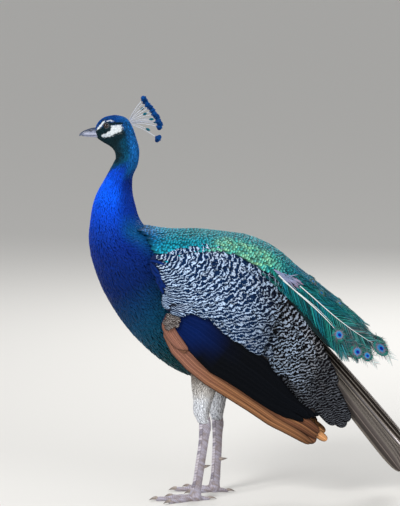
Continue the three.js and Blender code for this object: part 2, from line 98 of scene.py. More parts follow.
def makeWorld(scene):
    scene.view_settings.view_transform = "Standard"
    world = bpy.data.worlds.new("paleRoom")
    world.use_nodes = True
    background = world.node_tree.nodes["Background"]
    background.inputs["Color"].default_value = linearFour(studio["world"])
    background.inputs["Strength"].default_value = studio["worldLight"]
    scene.world = world


def makeLamps(scene):
    for name, lamp in lamps.items():
        light = bpy.data.lights.new(name, "AREA")
        light.size = lamp["size"]
        light.energy = lamp["power"]
        holder = bpy.data.objects.new(name, light)
        holder.location = lamp["place"]
        toAim = Vector(studio["lampAim"]) - holder.location
        holder.rotation_euler = toAim.to_track_quat("-Z", "Y").to_euler()
        scene.collection.objects.link(holder)


def makeFloor(scene):
    bm = bmesh.new()
    bmesh.ops.create_grid(bm, x_segments=2, y_segments=2, size=studio["floorReach"])
    mesh = bpy.data.meshes.new("floor")
    bm.to_mesh(mesh)
    bm.free()
    floor = bpy.data.objects.new("floor", mesh)
    scene.collection.objects.link(floor)
    paint = bpy.data.materials.new("paleFloor")
    paint.use_nodes = True
    shader = paint.node_tree.nodes["Principled BSDF"]
    shader.inputs["Base Color"].default_value = linearFour(studio["floor"])
    shader.inputs["Roughness"].default_value = studio["floorRough"]
    mesh.materials.append(paint)


for makePart in (makeCamera, makeWorld, makeLamps, makeFloor):
    makePart(bpy.context.scene)
print("studio ready")

# The ribs cross the body from back to front: back x, back z, front x, front z, half width
bodyRibs = np.array([
    (-222, 746, -220, 726, 8), (-216, 757, -215, 722, 12), (-206, 765, -206, 716, 15.5),
    (-194, 769, -197, 711, 17.5), (-178, 770, -189, 705, 18), (-160, 764, -184, 698, 17.5),
    (-149, 748, -182, 690, 17), (-140, 722, -182, 683, 18), (-135, 700, -185, 678, 20.5),
    (-138, 672, -193, 662, 24), (-148, 648, -206, 639, 28), (-149, 620, -218, 618, 33),
    (-144, 594, -228, 590, 40), (-134, 562, -234, 552, 50), (-114, 542, -236, 518, 63),
    (-70, 541, -228, 474, 79), (-14, 540, -204, 412, 88), (42, 532, -158, 341, 91),
    (84, 512, -94, 279, 88), (118, 484, -34, 246, 79), (148, 448, 30, 233, 64),
    (170, 412, 90, 266, 45), (182, 384, 140, 322, 26), (186, 366, 172, 348, 8),
], float)
headRib, tailRib = 7.5, len(bodyRibs) - 1

# The folded wings and the train lie on the flank: ridge x, ridge z, lower x, lower z, half width
flankRibs = np.array([
    (-134, 556, -230, 500, 62), (-70, 543, -228, 474, 87), (-14, 542, -204, 412, 99),
    (42, 534, -158, 340, 104), (90, 522, -94, 278, 104), (136, 499, -30, 224, 98),
    (185, 457, 38, 184, 89), (235, 417, 110, 144, 79), (285, 375, 178, 108, 70),
    (341, 323, 246, 80, 62), (397, 267, 314, 52, 56),
], float)
flankTurn = dict(shoulder=0.42, tuck=0.14, roundness=2.3)
halvings = 22  # steps in the search for the rib through a place


def tableAt(rows, place):
    place = np.asarray(place, float)
    last = len(rows) - 1
    i = np.clip(np.floor(place).astype(int), 0, last - 1)
    t = (place - i)[..., None]
    p0, p1, p2, p3 = (rows[np.clip(i + k, 0, last)] for k in (-1, 0, 1, 2))
    bend = 2 * p1 - 2 * p2 + (p2 - p0) / 2 + (p3 - p1) / 2
    rise = -3 * p1 + 3 * p2 - (p2 - p0) - (p3 - p1) / 2
    return ((bend * t + rise) * t + (p2 - p0) / 2) * t + p1


def unit(vectors):
    return vectors / np.maximum(np.linalg.norm(vectors, axis=-1, keepdims=True), 1e-9)


def bodyPoint(place, angle, out=0.0):
    place, angle = np.broadcast_arrays(place, angle)
    bx, bz, fx, fz, half = np.moveaxis(tableAt(bodyRibs, place), -1, 0)
    depth = np.hypot(bx - fx, bz - fz) / 2
    ux, uz = (bx - fx) / depth / 2, (bz - fz) / depth / 2
    lift = (depth + out) * np.cos(angle)
    return np.stack([(bx + fx) / 2 + ux * lift, (half + out) * np.sin(angle), (bz + fz) / 2 + uz * lift], -1)


def flankShape(v):
    low = np.clip((v - flankTurn["shoulder"]) / (1 - flankTurn["shoulder"]), 0, 1)
    high = np.clip((flankTurn["shoulder"] - v) / flankTurn["shoulder"], 0, 1)
    power = flankTurn["roundness"]
    lower = 1 - flankTurn["tuck"] * low ** 2
    return np.where(v > flankTurn["shoulder"], lower, (1 - high ** power) ** (1 / power))


def flankAt(x, z):
    x, z = np.broadcast_arrays(np.asarray(x, float), z)
    low = np.zeros(x.shape)
    high = np.full(x.shape, float(len(flankRibs) - 1))
    for _ in range(halvings):
        middle = (low + high) / 2
        bx, bz, fx, fz, _half = np.moveaxis(tableAt(flankRibs, middle), -1, 0)
        ahead = (fx - bx) * (z - bz) - (fz - bz) * (x - bx) > 0
        low = np.where(ahead, middle, low)
        high = np.where(ahead, high, middle)
    bx, bz, fx, fz, half = np.moveaxis(tableAt(flankRibs, low), -1, 0)
    v = ((x - bx) * (fx - bx) + (z - bz) * (fz - bz)) / ((fx - bx) ** 2 + (fz - bz) ** 2)
    return half * flankShape(np.clip(v, 0, 1))


def capePoint(place, v, out=0.0):
    place, v = np.broadcast_arrays(np.asarray(place, float), v)
    bx, bz, fx, fz, half = np.moveaxis(tableAt(flankRibs, place), -1, 0)
    down = np.abs(v)
    rx, rz = fx - bx, fz - bz
    reach = np.hypot(rx, rz)
    slope = np.minimum(1, down / flankTurn["shoulder"])
    above = out * (1 - slope)
    x = bx + rx * down - rx / reach * above
    z = bz + rz * down - rz / reach * above
    return np.stack([x, np.sign(v) * (half * flankShape(down) + out * slope), z], -1)


# Share of the OFBake map: a tuft's patch at its root's place, or a long feather's part of its own cell
tuftPatch = 0.003
bladeCell = dict(half=0.44, start=0.05, run=0.9)


# Meshes from arrays: every vane is a row of rings, closed at both ends
def vaneMesh(name, vanes, tint, rootUv=None, mark=None):
    top = vanes["top"]
    count, stations, across = top.shape[:3]
    index = np.arange(count * stations * across).reshape(count, stations, across)
    nextOne = np.roll(index, -1, axis=2)
    quads = np.stack([index[:, :-1], nextOne[:, :-1], nextOne[:, 1:], index[:, 1:]], -1).reshape(-1, 4)
    caps = np.concatenate([index[:, 0, ::-1], index[:, -1, :]])
    loops = np.concatenate([quads.ravel(), caps.ravel()])
    loopCounts = np.concatenate([np.full(len(quads), 4), np.full(len(caps), across)])
    mesh = bpy.data.meshes.new(name)
    mesh.vertices.add(index.size)
    mesh.vertices.foreach_set("co", toFrame(top.reshape(-1, 3)).astype(np.float32).ravel())
    mesh.loops.add(len(loops))
    mesh.loops.foreach_set("vertex_index", loops.astype(np.int32))
    mesh.polygons.add(len(loopCounts))
    starts = np.concatenate([[0], np.cumsum(loopCounts)[:-1]])
    mesh.polygons.foreach_set("loop_start", starts.astype(np.int32))
    mesh.polygons.foreach_set("use_smooth", np.ones(len(loopCounts), bool))

    s = np.broadcast_to(np.linspace(0, 1, stations)[None, :, None], index.shape)
    t = np.broadcast_to(vanes["t"][None, None, :], index.shape)
    seed = np.broadcast_to(vanes["seeds"][:, None, None], index.shape)
    putVector(mesh, "vane", np.stack([t, s, seed], -1))
    putVector(mesh, "run", vanes["run"])
    putColour(mesh, "tint", tint)
    if mark is not None:
        putVector(mesh, "mark", np.repeat(mark, stations * across, axis=0))
    if "bar" in vanes:
        putVector(mesh, "bar", vanes["bar"])
    if rootUv is None:
        columns = math.ceil(math.sqrt(count))
        number = np.arange(count)
        corner = np.stack([number % columns, number // columns], -1)[:, None, None, :]
        inside = np.stack([0.5 + bladeCell["half"] * t, bladeCell["start"] + bladeCell["run"] * s], -1)
        uv = (corner + inside) / columns
    else:
        centre = (np.clip(rootUv, 0, 1) * (1 - 2 * tuftPatch) + tuftPatch)[:, None, None, :]
        uv = centre + np.stack([t * 0.5, s - 0.5], -1) * tuftPatch
    layer = mesh.uv_layers.new(name="OFBake")
    layer.uv.foreach_set("vector", uv.reshape(-1, 2)[loops].astype(np.float32).ravel())
    mesh.update(calc_edges=True)
    mesh.validate()
    return mesh


def mirrored(vanes):
    flipped = {key: vanes[key][:, :, ::-1] for key in ("top", "bar") if key in vanes}
    return {**vanes, **flipped, "top": flipped["top"] * (1, -1, 1)}


def triples(first, second, third=0.0):  # three values for each vane
    return np.stack(np.broadcast_arrays(first, second, third), -1)


def varied(seed, amount, count):  # sizes around 1
    return np.random.default_rng(seed).uniform(1 - amount, 1 + amount, count)


def together(*groups):
    joinedUp = {key: np.concatenate([group[key] for group in groups]) for key in ("top", "run", "seeds")}
    return {**joinedUp, "t": groups[0]["t"]}


def paired(vanes):  # with their mirror on the other side
    return together(vanes, mirrored(vanes))


def withTwin(vanes):
    return (("left", vanes), ("right", mirrored(vanes)))


def putVector(mesh, name, values):
    attribute = mesh.attributes.new(name, "FLOAT_VECTOR", "POINT")
    attribute.data.foreach_set("vector", np.ascontiguousarray(values, np.float32).ravel())


def putColour(mesh, name, values):
    values = np.asarray(values, float).reshape(-1, 3)
    if len(values) != len(mesh.vertices):
        values = np.repeat(values, len(mesh.vertices) // len(values), axis=0)
    full = np.concatenate([values, np.ones((len(values), 1))], -1)
    attribute = mesh.attributes.new(name, "FLOAT_COLOR", "POINT")
    attribute.data.foreach_set("color", full.astype(np.float32).ravel())


def addPiece(mesh, material, replaced=()):
    piece = bpy.data.objects.new(mesh.name, mesh)
    bpy.context.scene.collection.objects.link(piece)
    mesh.materials.append(material)
    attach(piece, "root")
    if replaced:
        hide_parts(*replaced)


# Rows of roots over a surface, a step apart along the lie and across it, found by fine steps
spreadSteps = dict(along=300, around=121)


def spread(surface, uRange, vRange, step, stepAcross, seed, jitter=0.3):
    rng = np.random.default_rng(seed)
    fine = np.linspace(*uRange, spreadSteps["along"])
    ring = np.linspace(*vRange, spreadSteps["around"])
    grid = surface(fine[:, None], ring[None, :])
    advance = np.linalg.norm(np.diff(grid, axis=0), axis=2).mean(axis=1)
    stepHere = step(fine) if callable(step) else np.full(len(fine), step)
    rows = np.concatenate([[0], np.cumsum(advance / stepHere[1:])])
    acrossHere = stepAcross(fine) if callable(stepAcross) else np.full(len(fine), stepAcross)
    places, sides = [], []
    for k in range(int(rows[-1]) + 1):
        u = np.interp(k, rows, fine)
        arc = np.linalg.norm(np.diff(surface(np.full(len(ring), u), ring), axis=0), axis=1)
        arc = np.concatenate([[0], np.cumsum(arc)])
        count = max(int(arc[-1] / np.interp(u, fine, acrossHere)), 3)
        marks = np.arange(count) + 0.5 * (k % 2) + rng.uniform(-jitter, jitter, count)
        places.append(np.full(count, u) + rng.uniform(-jitter, jitter, count) * (fine[1] - fine[0]) * 2)
        sides.append(np.interp(marks % count / count * arc[-1], arc, ring))
    return np.concatenate(places), np.concatenate(sides)


# Outlines of a vane: half width from root to tip
def opening(s):  # a quarter of a sine wave, then level
    return np.sin(np.pi * 0.5 * np.minimum(s, 1))


def roundEnd(s, power, least):
    return np.sqrt(np.maximum(1 - s ** power, least))


outlines = dict(
    hair=lambda s: 0.75 * (1 - s ** 2.2) + 0.06,
    soft=lambda s: (0.55 + 0.45 * np.sin(np.pi * np.minimum(s * 1.1, 1) * 0.75)) * (1 - s ** 5) + 0.05,
    scale=lambda s: (0.6 + 0.4 * opening(s * 1.8)) * roundEnd(s, 4.5, 0.004),
    disc=lambda s: roundEnd(np.abs(2 * s - 1), 2, 0.006),
    spoon=lambda s: (0.15 + 0.85 * smooth(0.0, 0.5, s)) * roundEnd(s, 7, 0.02),
    blade=lambda s: (0.35 + 0.65 * opening(s * 3)) * roundEnd(s, 18, 0.004),
)
# Places across a vane, from edge to edge
softRib = (-1, -0.5, 0, 0.5, 1)
featherRib = (-1, -0.6, -0.08, 0, 0.08, 0.6, 1)


def towardTip(count):  # stations along a long feather, closer together toward its tip
    return 1 - (1 - np.linspace(0, 1, count)) ** 1.8


# A vane's path: where its shaft runs, with the way along it, across it and out of the surface
def framesOn(surface, uAll, vAll, turn, nudge=0.004):
    point = surface(uAll, vAll)
    along = unit(np.gradient(point, axis=1))
    crossing = surface(uAll, vAll + nudge) - surface(uAll, vAll - nudge)
    crossing = unit(crossing - along * (crossing * along).sum(-1, keepdims=True)) * turn
    return point, along, crossing, np.cross(crossing, along)


def lieOn(surface, u, v, length, stations, turn, nudge=0.004):
    speed = np.linalg.norm(surface(u + nudge, v) - surface(u - nudge, v), axis=-1) / (2 * nudge)
    length = np.broadcast_to(length, u.shape)
    uAll = u[:, None] + length[:, None] * np.linspace(0, 1, stations) / np.maximum(speed, 3)[:, None]
    return framesOn(surface, uAll, np.broadcast_to(v[:, None], uAll.shape), turn)


def framed(point, *ways):  # the same ways at every station of the points
    return (point, *(np.broadcast_to(way, point.shape) for way in ways))


def vanesOf(top, width, reach, t, seeds):
    run = np.stack(np.broadcast_arrays(width[..., None] * t, reach[..., None], seeds[:, None, None] * 50), -1)
    return dict(top=top, run=run, seeds=seeds, t=t)


# Vanes over their paths. They start a little under the surface (sink) and end above it (lift)
def raiseVanes(frames, half, spec, seed, layer=0.0):
    point, along, crossing, normal = frames
    rng = np.random.default_rng(seed)
    count, stations = point.shape[:2]
    half = np.broadcast_to(half, count)
    t = np.array(spec.get("across", (-1, 0, 1)), float)
    s = spec.get("stations", np.linspace(0, 1, stations))
    steps = np.linalg.norm(np.diff(point, axis=1), axis=-1)
    reach = np.concatenate([np.zeros((count, 1)), steps.cumsum(axis=1)], 1)
    yaw = np.tan(np.radians(rng.normal(0, spec.get("yaw", 7), count)))[:, None]
    roll = np.radians(rng.normal(0, spec.get("roll", 5), count))[:, None, None]
    crossing, normal = (crossing * np.cos(roll) + normal * np.sin(roll),
                        normal * np.cos(roll) - crossing * np.sin(roll))
    sink = spec["sink"] * rng.uniform(0.8, 1.1, count)[:, None]
    lift = spec["lift"] * rng.uniform(0.3, 1.3, count)[:, None]
    out = -sink + (sink + lift) * s[None, :] ** 0.8 + np.reshape(layer, (-1, 1))
    centre = point + crossing * (reach * yaw)[..., None] + normal * out[..., None]
    width = half[:, None] * outlines[spec["outline"]](s)[None, :]
    full = np.minimum(1, width / half[:, None] + 0.2)[..., None]
    rib = spec.get("shaft", 0) * (np.abs(t) < 0.02) * (1 - 0.6 * s[:, None])
    crown = spec["crown"] * (1 - t ** 2) * full + rib
    top = centre[:, :, None] + crossing[:, :, None] * (width[..., None] * t)[..., None]
    top = top + normal[:, :, None] * crown[..., None]
    return vanesOf(top, width, reach, t, rng.random(count))


# Colours of the plumage
dyes = {name: dye(value) for name, value in dict(
    cobalt="#0462ff", royal="#054ee0", sea="#083aa8", navy="#062a84", ink="#042464", azure="#1a6cb8",
    lagoon="#0c5894", petrol="#084866", bottle="#0a4046", greenBlack="#0f272d", crownBlue="#0f4c9c",
    white="#e9f0f3", bareGreyAndShade="#93a3b4", teal="#17889e", ridge="#0e6b6e", jade="#46b3a2", gold="#9ad09a",
    down="#dad6d2", downDark="#75695f", downWhite="#eef2fa", brown="#43372e",
).items()}

# Down the body: place, then the colour on the back, on the side and on the front. On the neck the bright
# cobalt front and darker navy back are partly its real blue, partly painted sheen of the iridescent blue
# where the light falls
bodyBands = [
    (7, "azure", "petrol", "greenBlack"), (8, "azure", "petrol", "petrol"), (9, "lagoon", "sea", "royal"),
    (10, "navy", "royal", "cobalt"), (11, "sea", "cobalt", "cobalt"), (12.2, "sea", "royal", "royal"),
    (13.3, "lagoon", "sea", "sea"), (14.5, "lagoon", "navy", "navy"), (16, "lagoon", "ink", "ink"),
    (17.2, "petrol", "bottle", "petrol"), (18, "bottle", "bottle", "bottle"),
    (20, "bottle", "bottle", "greenBlack"), (23, "brown", "brown", "downDark"),
]


def smooth(low, high, value):
    t = np.clip((value - low) / (high - low), 0, 1)
    return t * t * (3 - 2 * t)


def mixed(first, second, amount):
    return first + (second - first) * np.asarray(amount)[..., None]


def patchNoise(x, z, size):  # soft patches, from 0 to 1
    across = np.sin(x / size + 2.1 * np.sin(z / size * 1.3))
    return 0.5 + 0.5 * across * np.sin(z / size * 0.9 + 1.7 * np.sin(x / size * 0.7))


# Bare white marks on the side of the head, and dark strokes: points seen from the side, half width, softness
cheekPatch = [(-190, 751.5), (-170, 752.5), (-168.5, 746), (-170.5, 739), (-183, 734.5), (-193, 728.5),
              (-205, 726.5), (-211.5, 729.5), (-208, 733), (-197.5, 736.8), (-190.5, 742.5)]
faceStrokes = dict(
    loreWhite=([(-226, 737.5), (-215.8, 745.5), (-209.6, 752.5), (-205, 758.5)], 1.9, 0.8),
    browWhite=([(-199, 759), (-193, 761), (-186.5, 758.5)], 1.1, 0.7),
    eyeStripe=([(-224, 738), (-209, 743), (-199, 751), (-188, 755), (-172, 756)], 2.6, 1.6),
    eyeRound=([(-200, 750), (-198, 750)], 8.5, 2),
    underCheek=([(-190, 724), (-178, 730), (-168, 738)], 7, 4),
    behindCheek=([(-164, 756), (-158, 738), (-152, 716)], 3.2, 3),
    forehead=([(-226, 742), (-219, 751), (-210, 760), (-201, 765)], 2.6, 2.4),
)


def nearestOn(x, z, first, second):
    (ax, az), (bx, bz) = first, second
    t = np.clip(((x - ax) * (bx - ax) + (z - az) * (bz - az)) / ((bx - ax) ** 2 + (bz - az) ** 2), 0, 1)
    return np.hypot(x - ax - (bx - ax) * t, z - az - (bz - az) * t)


def strokeMask(x, z, name):
    points, width, softness = faceStrokes[name]
    nearest = np.min([nearestOn(x, z, *pair) for pair in zip(points, points[1:])], axis=0)
    return 1 - smooth(width - softness, width + softness, nearest)


def outlineMask(x, z, corners, softness):
    inside = np.zeros(x.shape, bool)
    pairs = list(zip(corners, corners[1:] + corners[:1]))
    for (ax, az), (bx, bz) in pairs:
        inside ^= ((az > z) != (bz > z)) & (x < (bx - ax) * (z - az) / (bz - az) + ax)
    nearest = np.min([nearestOn(x, z, *pair) for pair in pairs], axis=0)
    return smooth(-softness, softness, np.where(inside, nearest, -nearest))


def bareMask(point):
    x, z = point[..., 0], point[..., 2]
    patch = outlineMask(x + 0.9 * np.sin(z * 1.1), z + 0.7 * np.sin(x * 0.9), cheekPatch, 1.0)
    patch = np.maximum(patch, strokeMask(x, z, "loreWhite"))
    patch = np.maximum(patch, strokeMask(x, z, "browWhite"))
    return patch * smooth(7, 11, np.abs(point[..., 1]))


def plumageColour(place, angle, point):
    front = (1 - np.cos(angle)) / 2
    rows = np.array([band[0] for band in bodyBands], float)
    layers = [np.stack([dyes[band[k]] for band in bodyBands]) for k in (1, 2, 3)]
    back, side, fore = (np.stack([np.interp(place, rows, layer[:, c]) for c in range(3)], -1)
                        for layer in layers)
    # on the neck the front colour carries painted sheen: the lit front is brighter than the back
    colour = mixed(back, side, smooth(0.2, 0.5, front))
    colour = mixed(colour, fore, smooth(0.5, 0.8, front))
    head = headColour(place, front, point)
    colour = mixed(head, colour, smooth(5.6, 7.6, place + 1.2 * front))
    fleck = patchNoise(point[..., 0] * 2.2 + point[..., 1], point[..., 2] * 0.7, 2.6) - 0.5
    fleck = fleck * smooth(11.5, 8, place) * (1 - bareMask(point)) * (0.35 + 0.65 * smooth(3, 6, place))
    return colour * (1 + 0.9 * fleck)[..., None]


def headColour(place, front, point):
    x, z = point[..., 0], point[..., 2]
    onSide = smooth(5, 10, np.abs(point[..., 1]))
    crown = mixed(dyes["crownBlue"], dyes["azure"], smooth(-186, -158, x))
    throat = mixed(dyes["greenBlack"], dyes["petrol"], smooth(-184, -158, x))
    colour = mixed(crown, throat, smooth(0.2, 0.42, front))
    dark = np.maximum(strokeMask(x, z, "eyeStripe"), strokeMask(x, z, "eyeRound"))
    for name, strength in (("forehead", 0.8), ("underCheek", 0.9), ("behindCheek", 0.6)):
        dark = np.maximum(dark, strength * strokeMask(x, z, name))
    colour = mixed(colour, dyes["greenBlack"], dark * onSide)
    # the bare marks are greyed in random patches, and greyer toward their lower edge; that lower grey is
    # painted shade
    grey = 0.5 * patchNoise(x * 1.3, z * 1.3, 3) + 0.25 * smooth(736, 728, z)
    return mixed(colour, mixed(dyes["white"], dyes["bareGreyAndShade"], grey), bareMask(point))


# Shader nodes and groups
def link(tree, source, target):
    tree.links.new(source, target)


def feed(tree, socket, value):  # a socket takes a value or another node's output
    if isinstance(value, (int, float, tuple)):
        socket.default_value = value
    else:
        link(tree, value, socket)


def shaderGroup(name, inputs, outputs):
    group = bpy.data.node_groups.new(name, "ShaderNodeTree")
    for label, value in inputs.items():
        kind = "NodeSocketColor" if isinstance(value, tuple) else "NodeSocketFloat"
        group.interface.new_socket(label, in_out="INPUT", socket_type=kind).default_value = value
    for label in outputs:
        kind = "NodeSocketColor" if label == "Colour" else "NodeSocketFloat"
        group.interface.new_socket(label, in_out="OUTPUT", socket_type=kind)
    return group, group.nodes.new("NodeGroupInput").outputs, group.nodes.new("NodeGroupOutput").inputs


def mathNode(tree, operation, *values):
    node = tree.nodes.new("ShaderNodeMath")
    node.operation = operation
    for socket, value in zip(node.inputs, values):
        feed(tree, socket, value)
    return node.outputs[0]


def times(tree, first, second):
    return mathNode(tree, "MULTIPLY", first, second)


def plus(tree, first, second):
    return mathNode(tree, "ADD", first, second)


def minus(tree, first, second):
    return mathNode(tree, "SUBTRACT", first, second)


def mixColour(tree, amount, first, second, blend="MIX"):
    node = tree.nodes.new("ShaderNodeMix")
    node.data_type = "RGBA"
    node.blend_type = blend
    for label, value in (("Factor", amount), (6, first), (7, second)):
        feed(tree, node.inputs[label], value)
    return node.outputs[2]


def shaded(tree, colour, value):  # a colour times one value
    grey = tree.nodes.new("ShaderNodeCombineXYZ")
    for socket in grey.inputs:
        link(tree, value, socket)
    return mixColour(tree, 1.0, colour, grey.outputs[0], "MULTIPLY")


def ramp(tree, value, low, high, outLow=0.0, outHigh=1.0, smoothly=True):
    node = tree.nodes.new("ShaderNodeMapRange")
    node.interpolation_type = "SMOOTHSTEP" if smoothly else "LINEAR"
    settings = {"Value": value, "From Min": low, "From Max": high, "To Min": outLow, "To Max": outHigh}
    for label, number in settings.items():
        feed(tree, node.inputs[label], number)
    return node.outputs["Result"]


def attributeOf(tree, name, output="Vector"):
    node = tree.nodes.new("ShaderNodeAttribute")
    node.attribute_name = name
    return node.outputs[output]


def partsOf(tree, vector):
    node = tree.nodes.new("ShaderNodeSeparateXYZ")
    link(tree, vector, node.inputs[0])
    return node.outputs


def objectPlace(tree):
    return tree.nodes.new("ShaderNodeTexCoord").outputs["Object"]


def noiseNode(tree, vector, scale, detail=2.0):
    node = tree.nodes.new("ShaderNodeTexNoise")
    node.inputs["Scale"].default_value = scale
    node.inputs["Detail"].default_value = detail
    link(tree, vector, node.inputs["Vector"])
    return node.outputs["Fac"]


def groupNode(tree, group, values):
    node = tree.nodes.new("ShaderNodeGroup")
    node.node_tree = group
    for label, value in values.items():
        feed(tree, node.inputs[label], value)
    return node.outputs


def newMaterial(name, settings):
    material = bpy.data.materials.new(name)
    material.use_nodes = True
    tree = material.node_tree
    shader = tree.nodes["Principled BSDF"]
    for label, value in settings.items():
        shader.inputs[label].default_value = value
    return material, tree, shader


def dress(tree, shader, colour, height, strength, distance):
    link(tree, colour, shader.inputs["Base Color"])
    bump = tree.nodes.new("ShaderNodeBump")
    bump.inputs["Strength"].default_value = strength
    bump.inputs["Distance"].default_value = distance
    link(tree, height, bump.inputs["Height"])
    link(tree, bump.outputs["Normal"], shader.inputs["Normal"])


# Barbs: fine slanting lines on a vane, its shaft, and its shade from root to tip
def makeBarbGroup():
    group, given, result = shaderGroup("vaneBarbs", {
        "Colour": (0.5, 0.5, 0.5, 1), "Barb Pitch": 0.8, "Root Shade": 0.5, "Edge Shade": 0.8,
        "Tip Light": 1.2, "Shaft Light": 1.2, "Scatter": 0.3}, ("Colour", "Height"))
    across, along, seed = partsOf(group, attributeOf(group, "vane"))
    aside = mathNode(group, "ABSOLUTE", across)
    run = partsOf(group, attributeOf(group, "run"))
    slant = minus(group, run[1], times(group, mathNode(group, "ABSOLUTE", run[0]), 0.9))
    barb = mathNode(group, "SINE", mathNode(group, "DIVIDE", times(group, slant, tau), given["Barb Pitch"]))
    rootward = ramp(group, along, 0.25, 0.95, given["Root Shade"], given["Tip Light"])
    edge = ramp(group, aside, 0.55, 1.0, 1.0, given["Edge Shade"])
    shaft = ramp(group, aside, 0.02, 0.12, given["Shaft Light"], 1.0)
    darkest = minus(group, 1.0, given["Scatter"])
    lightest = plus(group, 1.0, given["Scatter"])
    mood = ramp(group, seed, 0.0, 1.0, darkest, lightest, smoothly=False)
    lines = mathNode(group, "MULTIPLY_ADD", barb, 0.07, 1.0)
    shade = times(group, times(group, rootward, edge), times(group, shaft, mood))
    link(group, shaded(group, given["Colour"], times(group, shade, lines)), result["Colour"])
    link(group, barb, result["Height"])
    return group


barbGroup = makeBarbGroup()
barbDepth = 0.0003


def barbLook(root, tip, scatter, edge=0.8, shaft=1.2, pitch=0.8):
    return {"Root Shade": root, "Tip Light": tip, "Scatter": scatter, "Edge Shade": edge,
            "Shaft Light": shaft, "Barb Pitch": pitch}


def gloss(rough, specular, metal=0.0):
    return {"Roughness": rough, "Specular IOR Level": specular, "Metallic": metal}


def plumageMaterial(name, looks, barbs, pattern=None, bump=0.25):  # pattern gives the colour before the barbs
    material, tree, shader = newMaterial(name, looks)
    colour = pattern(tree) if pattern else attributeOf(tree, "tint", "Color")
    barbed = groupNode(tree, barbGroup, {"Colour": colour, **barbs})
    dress(tree, shader, barbed["Colour"], barbed["Height"], bump, barbDepth)
    return material


# Bare parts: the tint with a worn grain of greys, which may be stretched
def grainedMaterial(name, looks, noise, greys, grain, bump, stretch=None):
    material, tree, shader = newMaterial(name, looks)
    place = objectPlace(tree)
    if stretch:
        mapping = tree.nodes.new("ShaderNodeMapping")
        mapping.inputs["Scale"].default_value = stretch
        link(tree, place, mapping.inputs["Vector"])
        place = mapping.outputs["Vector"]
    height = noiseNode(tree, place, *noise)
    worn = mixColour(tree, ramp(tree, height, *greys), *grain)
    colour = mixColour(tree, 1.0, attributeOf(tree, "tint", "Color"), worn, "MULTIPLY")
    dress(tree, shader, colour, height, *bump)
    return material


satin = {**gloss(0.46, 0.08, 0.25), "Sheen Weight": 0.04, "Sheen Roughness": 0.4,
         "Sheen Tint": (0.3, 0.55, 1.0, 1)}
neckMaterial = plumageMaterial("neckSatin", satin, barbLook(0.78, 1.12, 0.12, edge=0.9))
headMaterial = plumageMaterial("headVelvet", {**satin, "Roughness": 0.5}, barbLook(0.5, 1.4, 0.35))
downMaterial = plumageMaterial("paleDown", {**gloss(0.75, 0.15), "Sheen Weight": 0.2},
                               barbLook(0.88, 1.04, 0.1))
skinMaterial = grainedMaterial("featheredSkin", gloss(0.6, 0.12), (900, 3), (0.35, 0.7),
                               ((0.62, 0.62, 0.62, 1), (1, 1, 1, 1)), (0.3, 0.0004))

# Skin: one closed form of body and thighs, inside the coat
hipY = 45
thighs = dict(
    left=np.array([(8, 300, 40, 30), (2, 262, 34, 26), (-4, 232, 26, 21), (-8, 205, 19, 16.5),
                   (-11, 182, 16, 14), (-9, 168, 13, 12), (-5, 158, 11, 9.5)], float),
    right=np.array([(30, 300, 40, 30), (27, 262, 34, 26), (24, 230, 26, 21), (22, 200, 19, 16.5),
                    (20, 176, 16, 14), (20, 160, 13, 12), (21, 150, 11, 9.5)], float),
)
sides = dict(left=-1, right=1)


def limbPoint(rows, y, place, angle, out=0.0):
    place, angle = np.broadcast_arrays(place, angle)
    x, z, depth, half = np.moveaxis(tableAt(rows, place), -1, 0)
    return np.stack([x + (depth + out) * np.cos(angle), y + (half + out) * np.sin(angle), z], -1)


def coatDepth(place):
    return np.interp(place, [0, 2, 6, 9, 13, 16, 23], [0.5, 0.8, 1.1, 2.0, 3.0, 3.8, 3.0])


def gridOver(bm, surface, uRange, vRange, uCount, vCount, tintAt):
    vertices = bmesh.ops.create_grid(bm, x_segments=uCount, y_segments=vCount, size=1)["verts"]
    parts = (np.array([v.co[:2] for v in vertices]) + 1) / 2
    u = uRange[0] + parts[:, 0] * (uRange[1] - uRange[0])
    v = vRange[0] + parts[:, 1] * (vRange[1] - vRange[0])
    points = surface(u, v)
    colours = np.broadcast_to(tintAt(u, v, points), points.shape)
    uvLayer = bm.loops.layers.uv["OFBake"]
    tintLayer = bm.verts.layers.float_color["tint"]
    for vertex, place, part, colour in zip(vertices, toFrame(points), parts, colours):
        vertex.co = place
        vertex[tintLayer] = (*colour, 1)
        for loop in vertex.link_loops:
            loop[uvLayer].uv = part


def closeForm(bm, distance=1e-5):
    bmesh.ops.remove_doubles(bm, verts=bm.verts, dist=distance)
    bmesh.ops.holes_fill(bm, edges=[edge for edge in bm.edges if edge.is_boundary], sides=0)
    bmesh.ops.recalc_face_normals(bm, faces=bm.faces)


def newForm():
    bm = bmesh.new()
    bm.loops.layers.uv.new("OFBake")
    bm.verts.layers.float_color.new("tint")
    return bm


def meshOf(bm, name):
    mesh = bpy.data.meshes.new(name)
    bm.to_mesh(mesh)
    bm.free()
    mesh.polygons.foreach_set("use_smooth", np.ones(len(mesh.polygons), bool))
    return mesh


def thighColour(place, angle, points):
    colour = mixed(dyes["downDark"], dyes["down"], smooth(0.7, 2.2, place))
    colour = mixed(colour, dyes["downWhite"], smooth(1.8, 3.0, place))
    return mixed(colour, dyes["downDark"], 0.6 * smooth(0.0, 1.0, np.cos(angle)) * smooth(6.5, 4, place))


skinGrid = dict(head=(90, 96), body=(110, 96), thigh=(40, 32), thighDepth=2.0, bareRise=0.8)


def skinPoint(u, v):  # under the coat, and nearly at its height where the head is bare
    return bodyPoint(u, v, -coatDepth(u) * (1 - skinGrid["bareRise"] * bareMask(bodyPoint(u, v))))


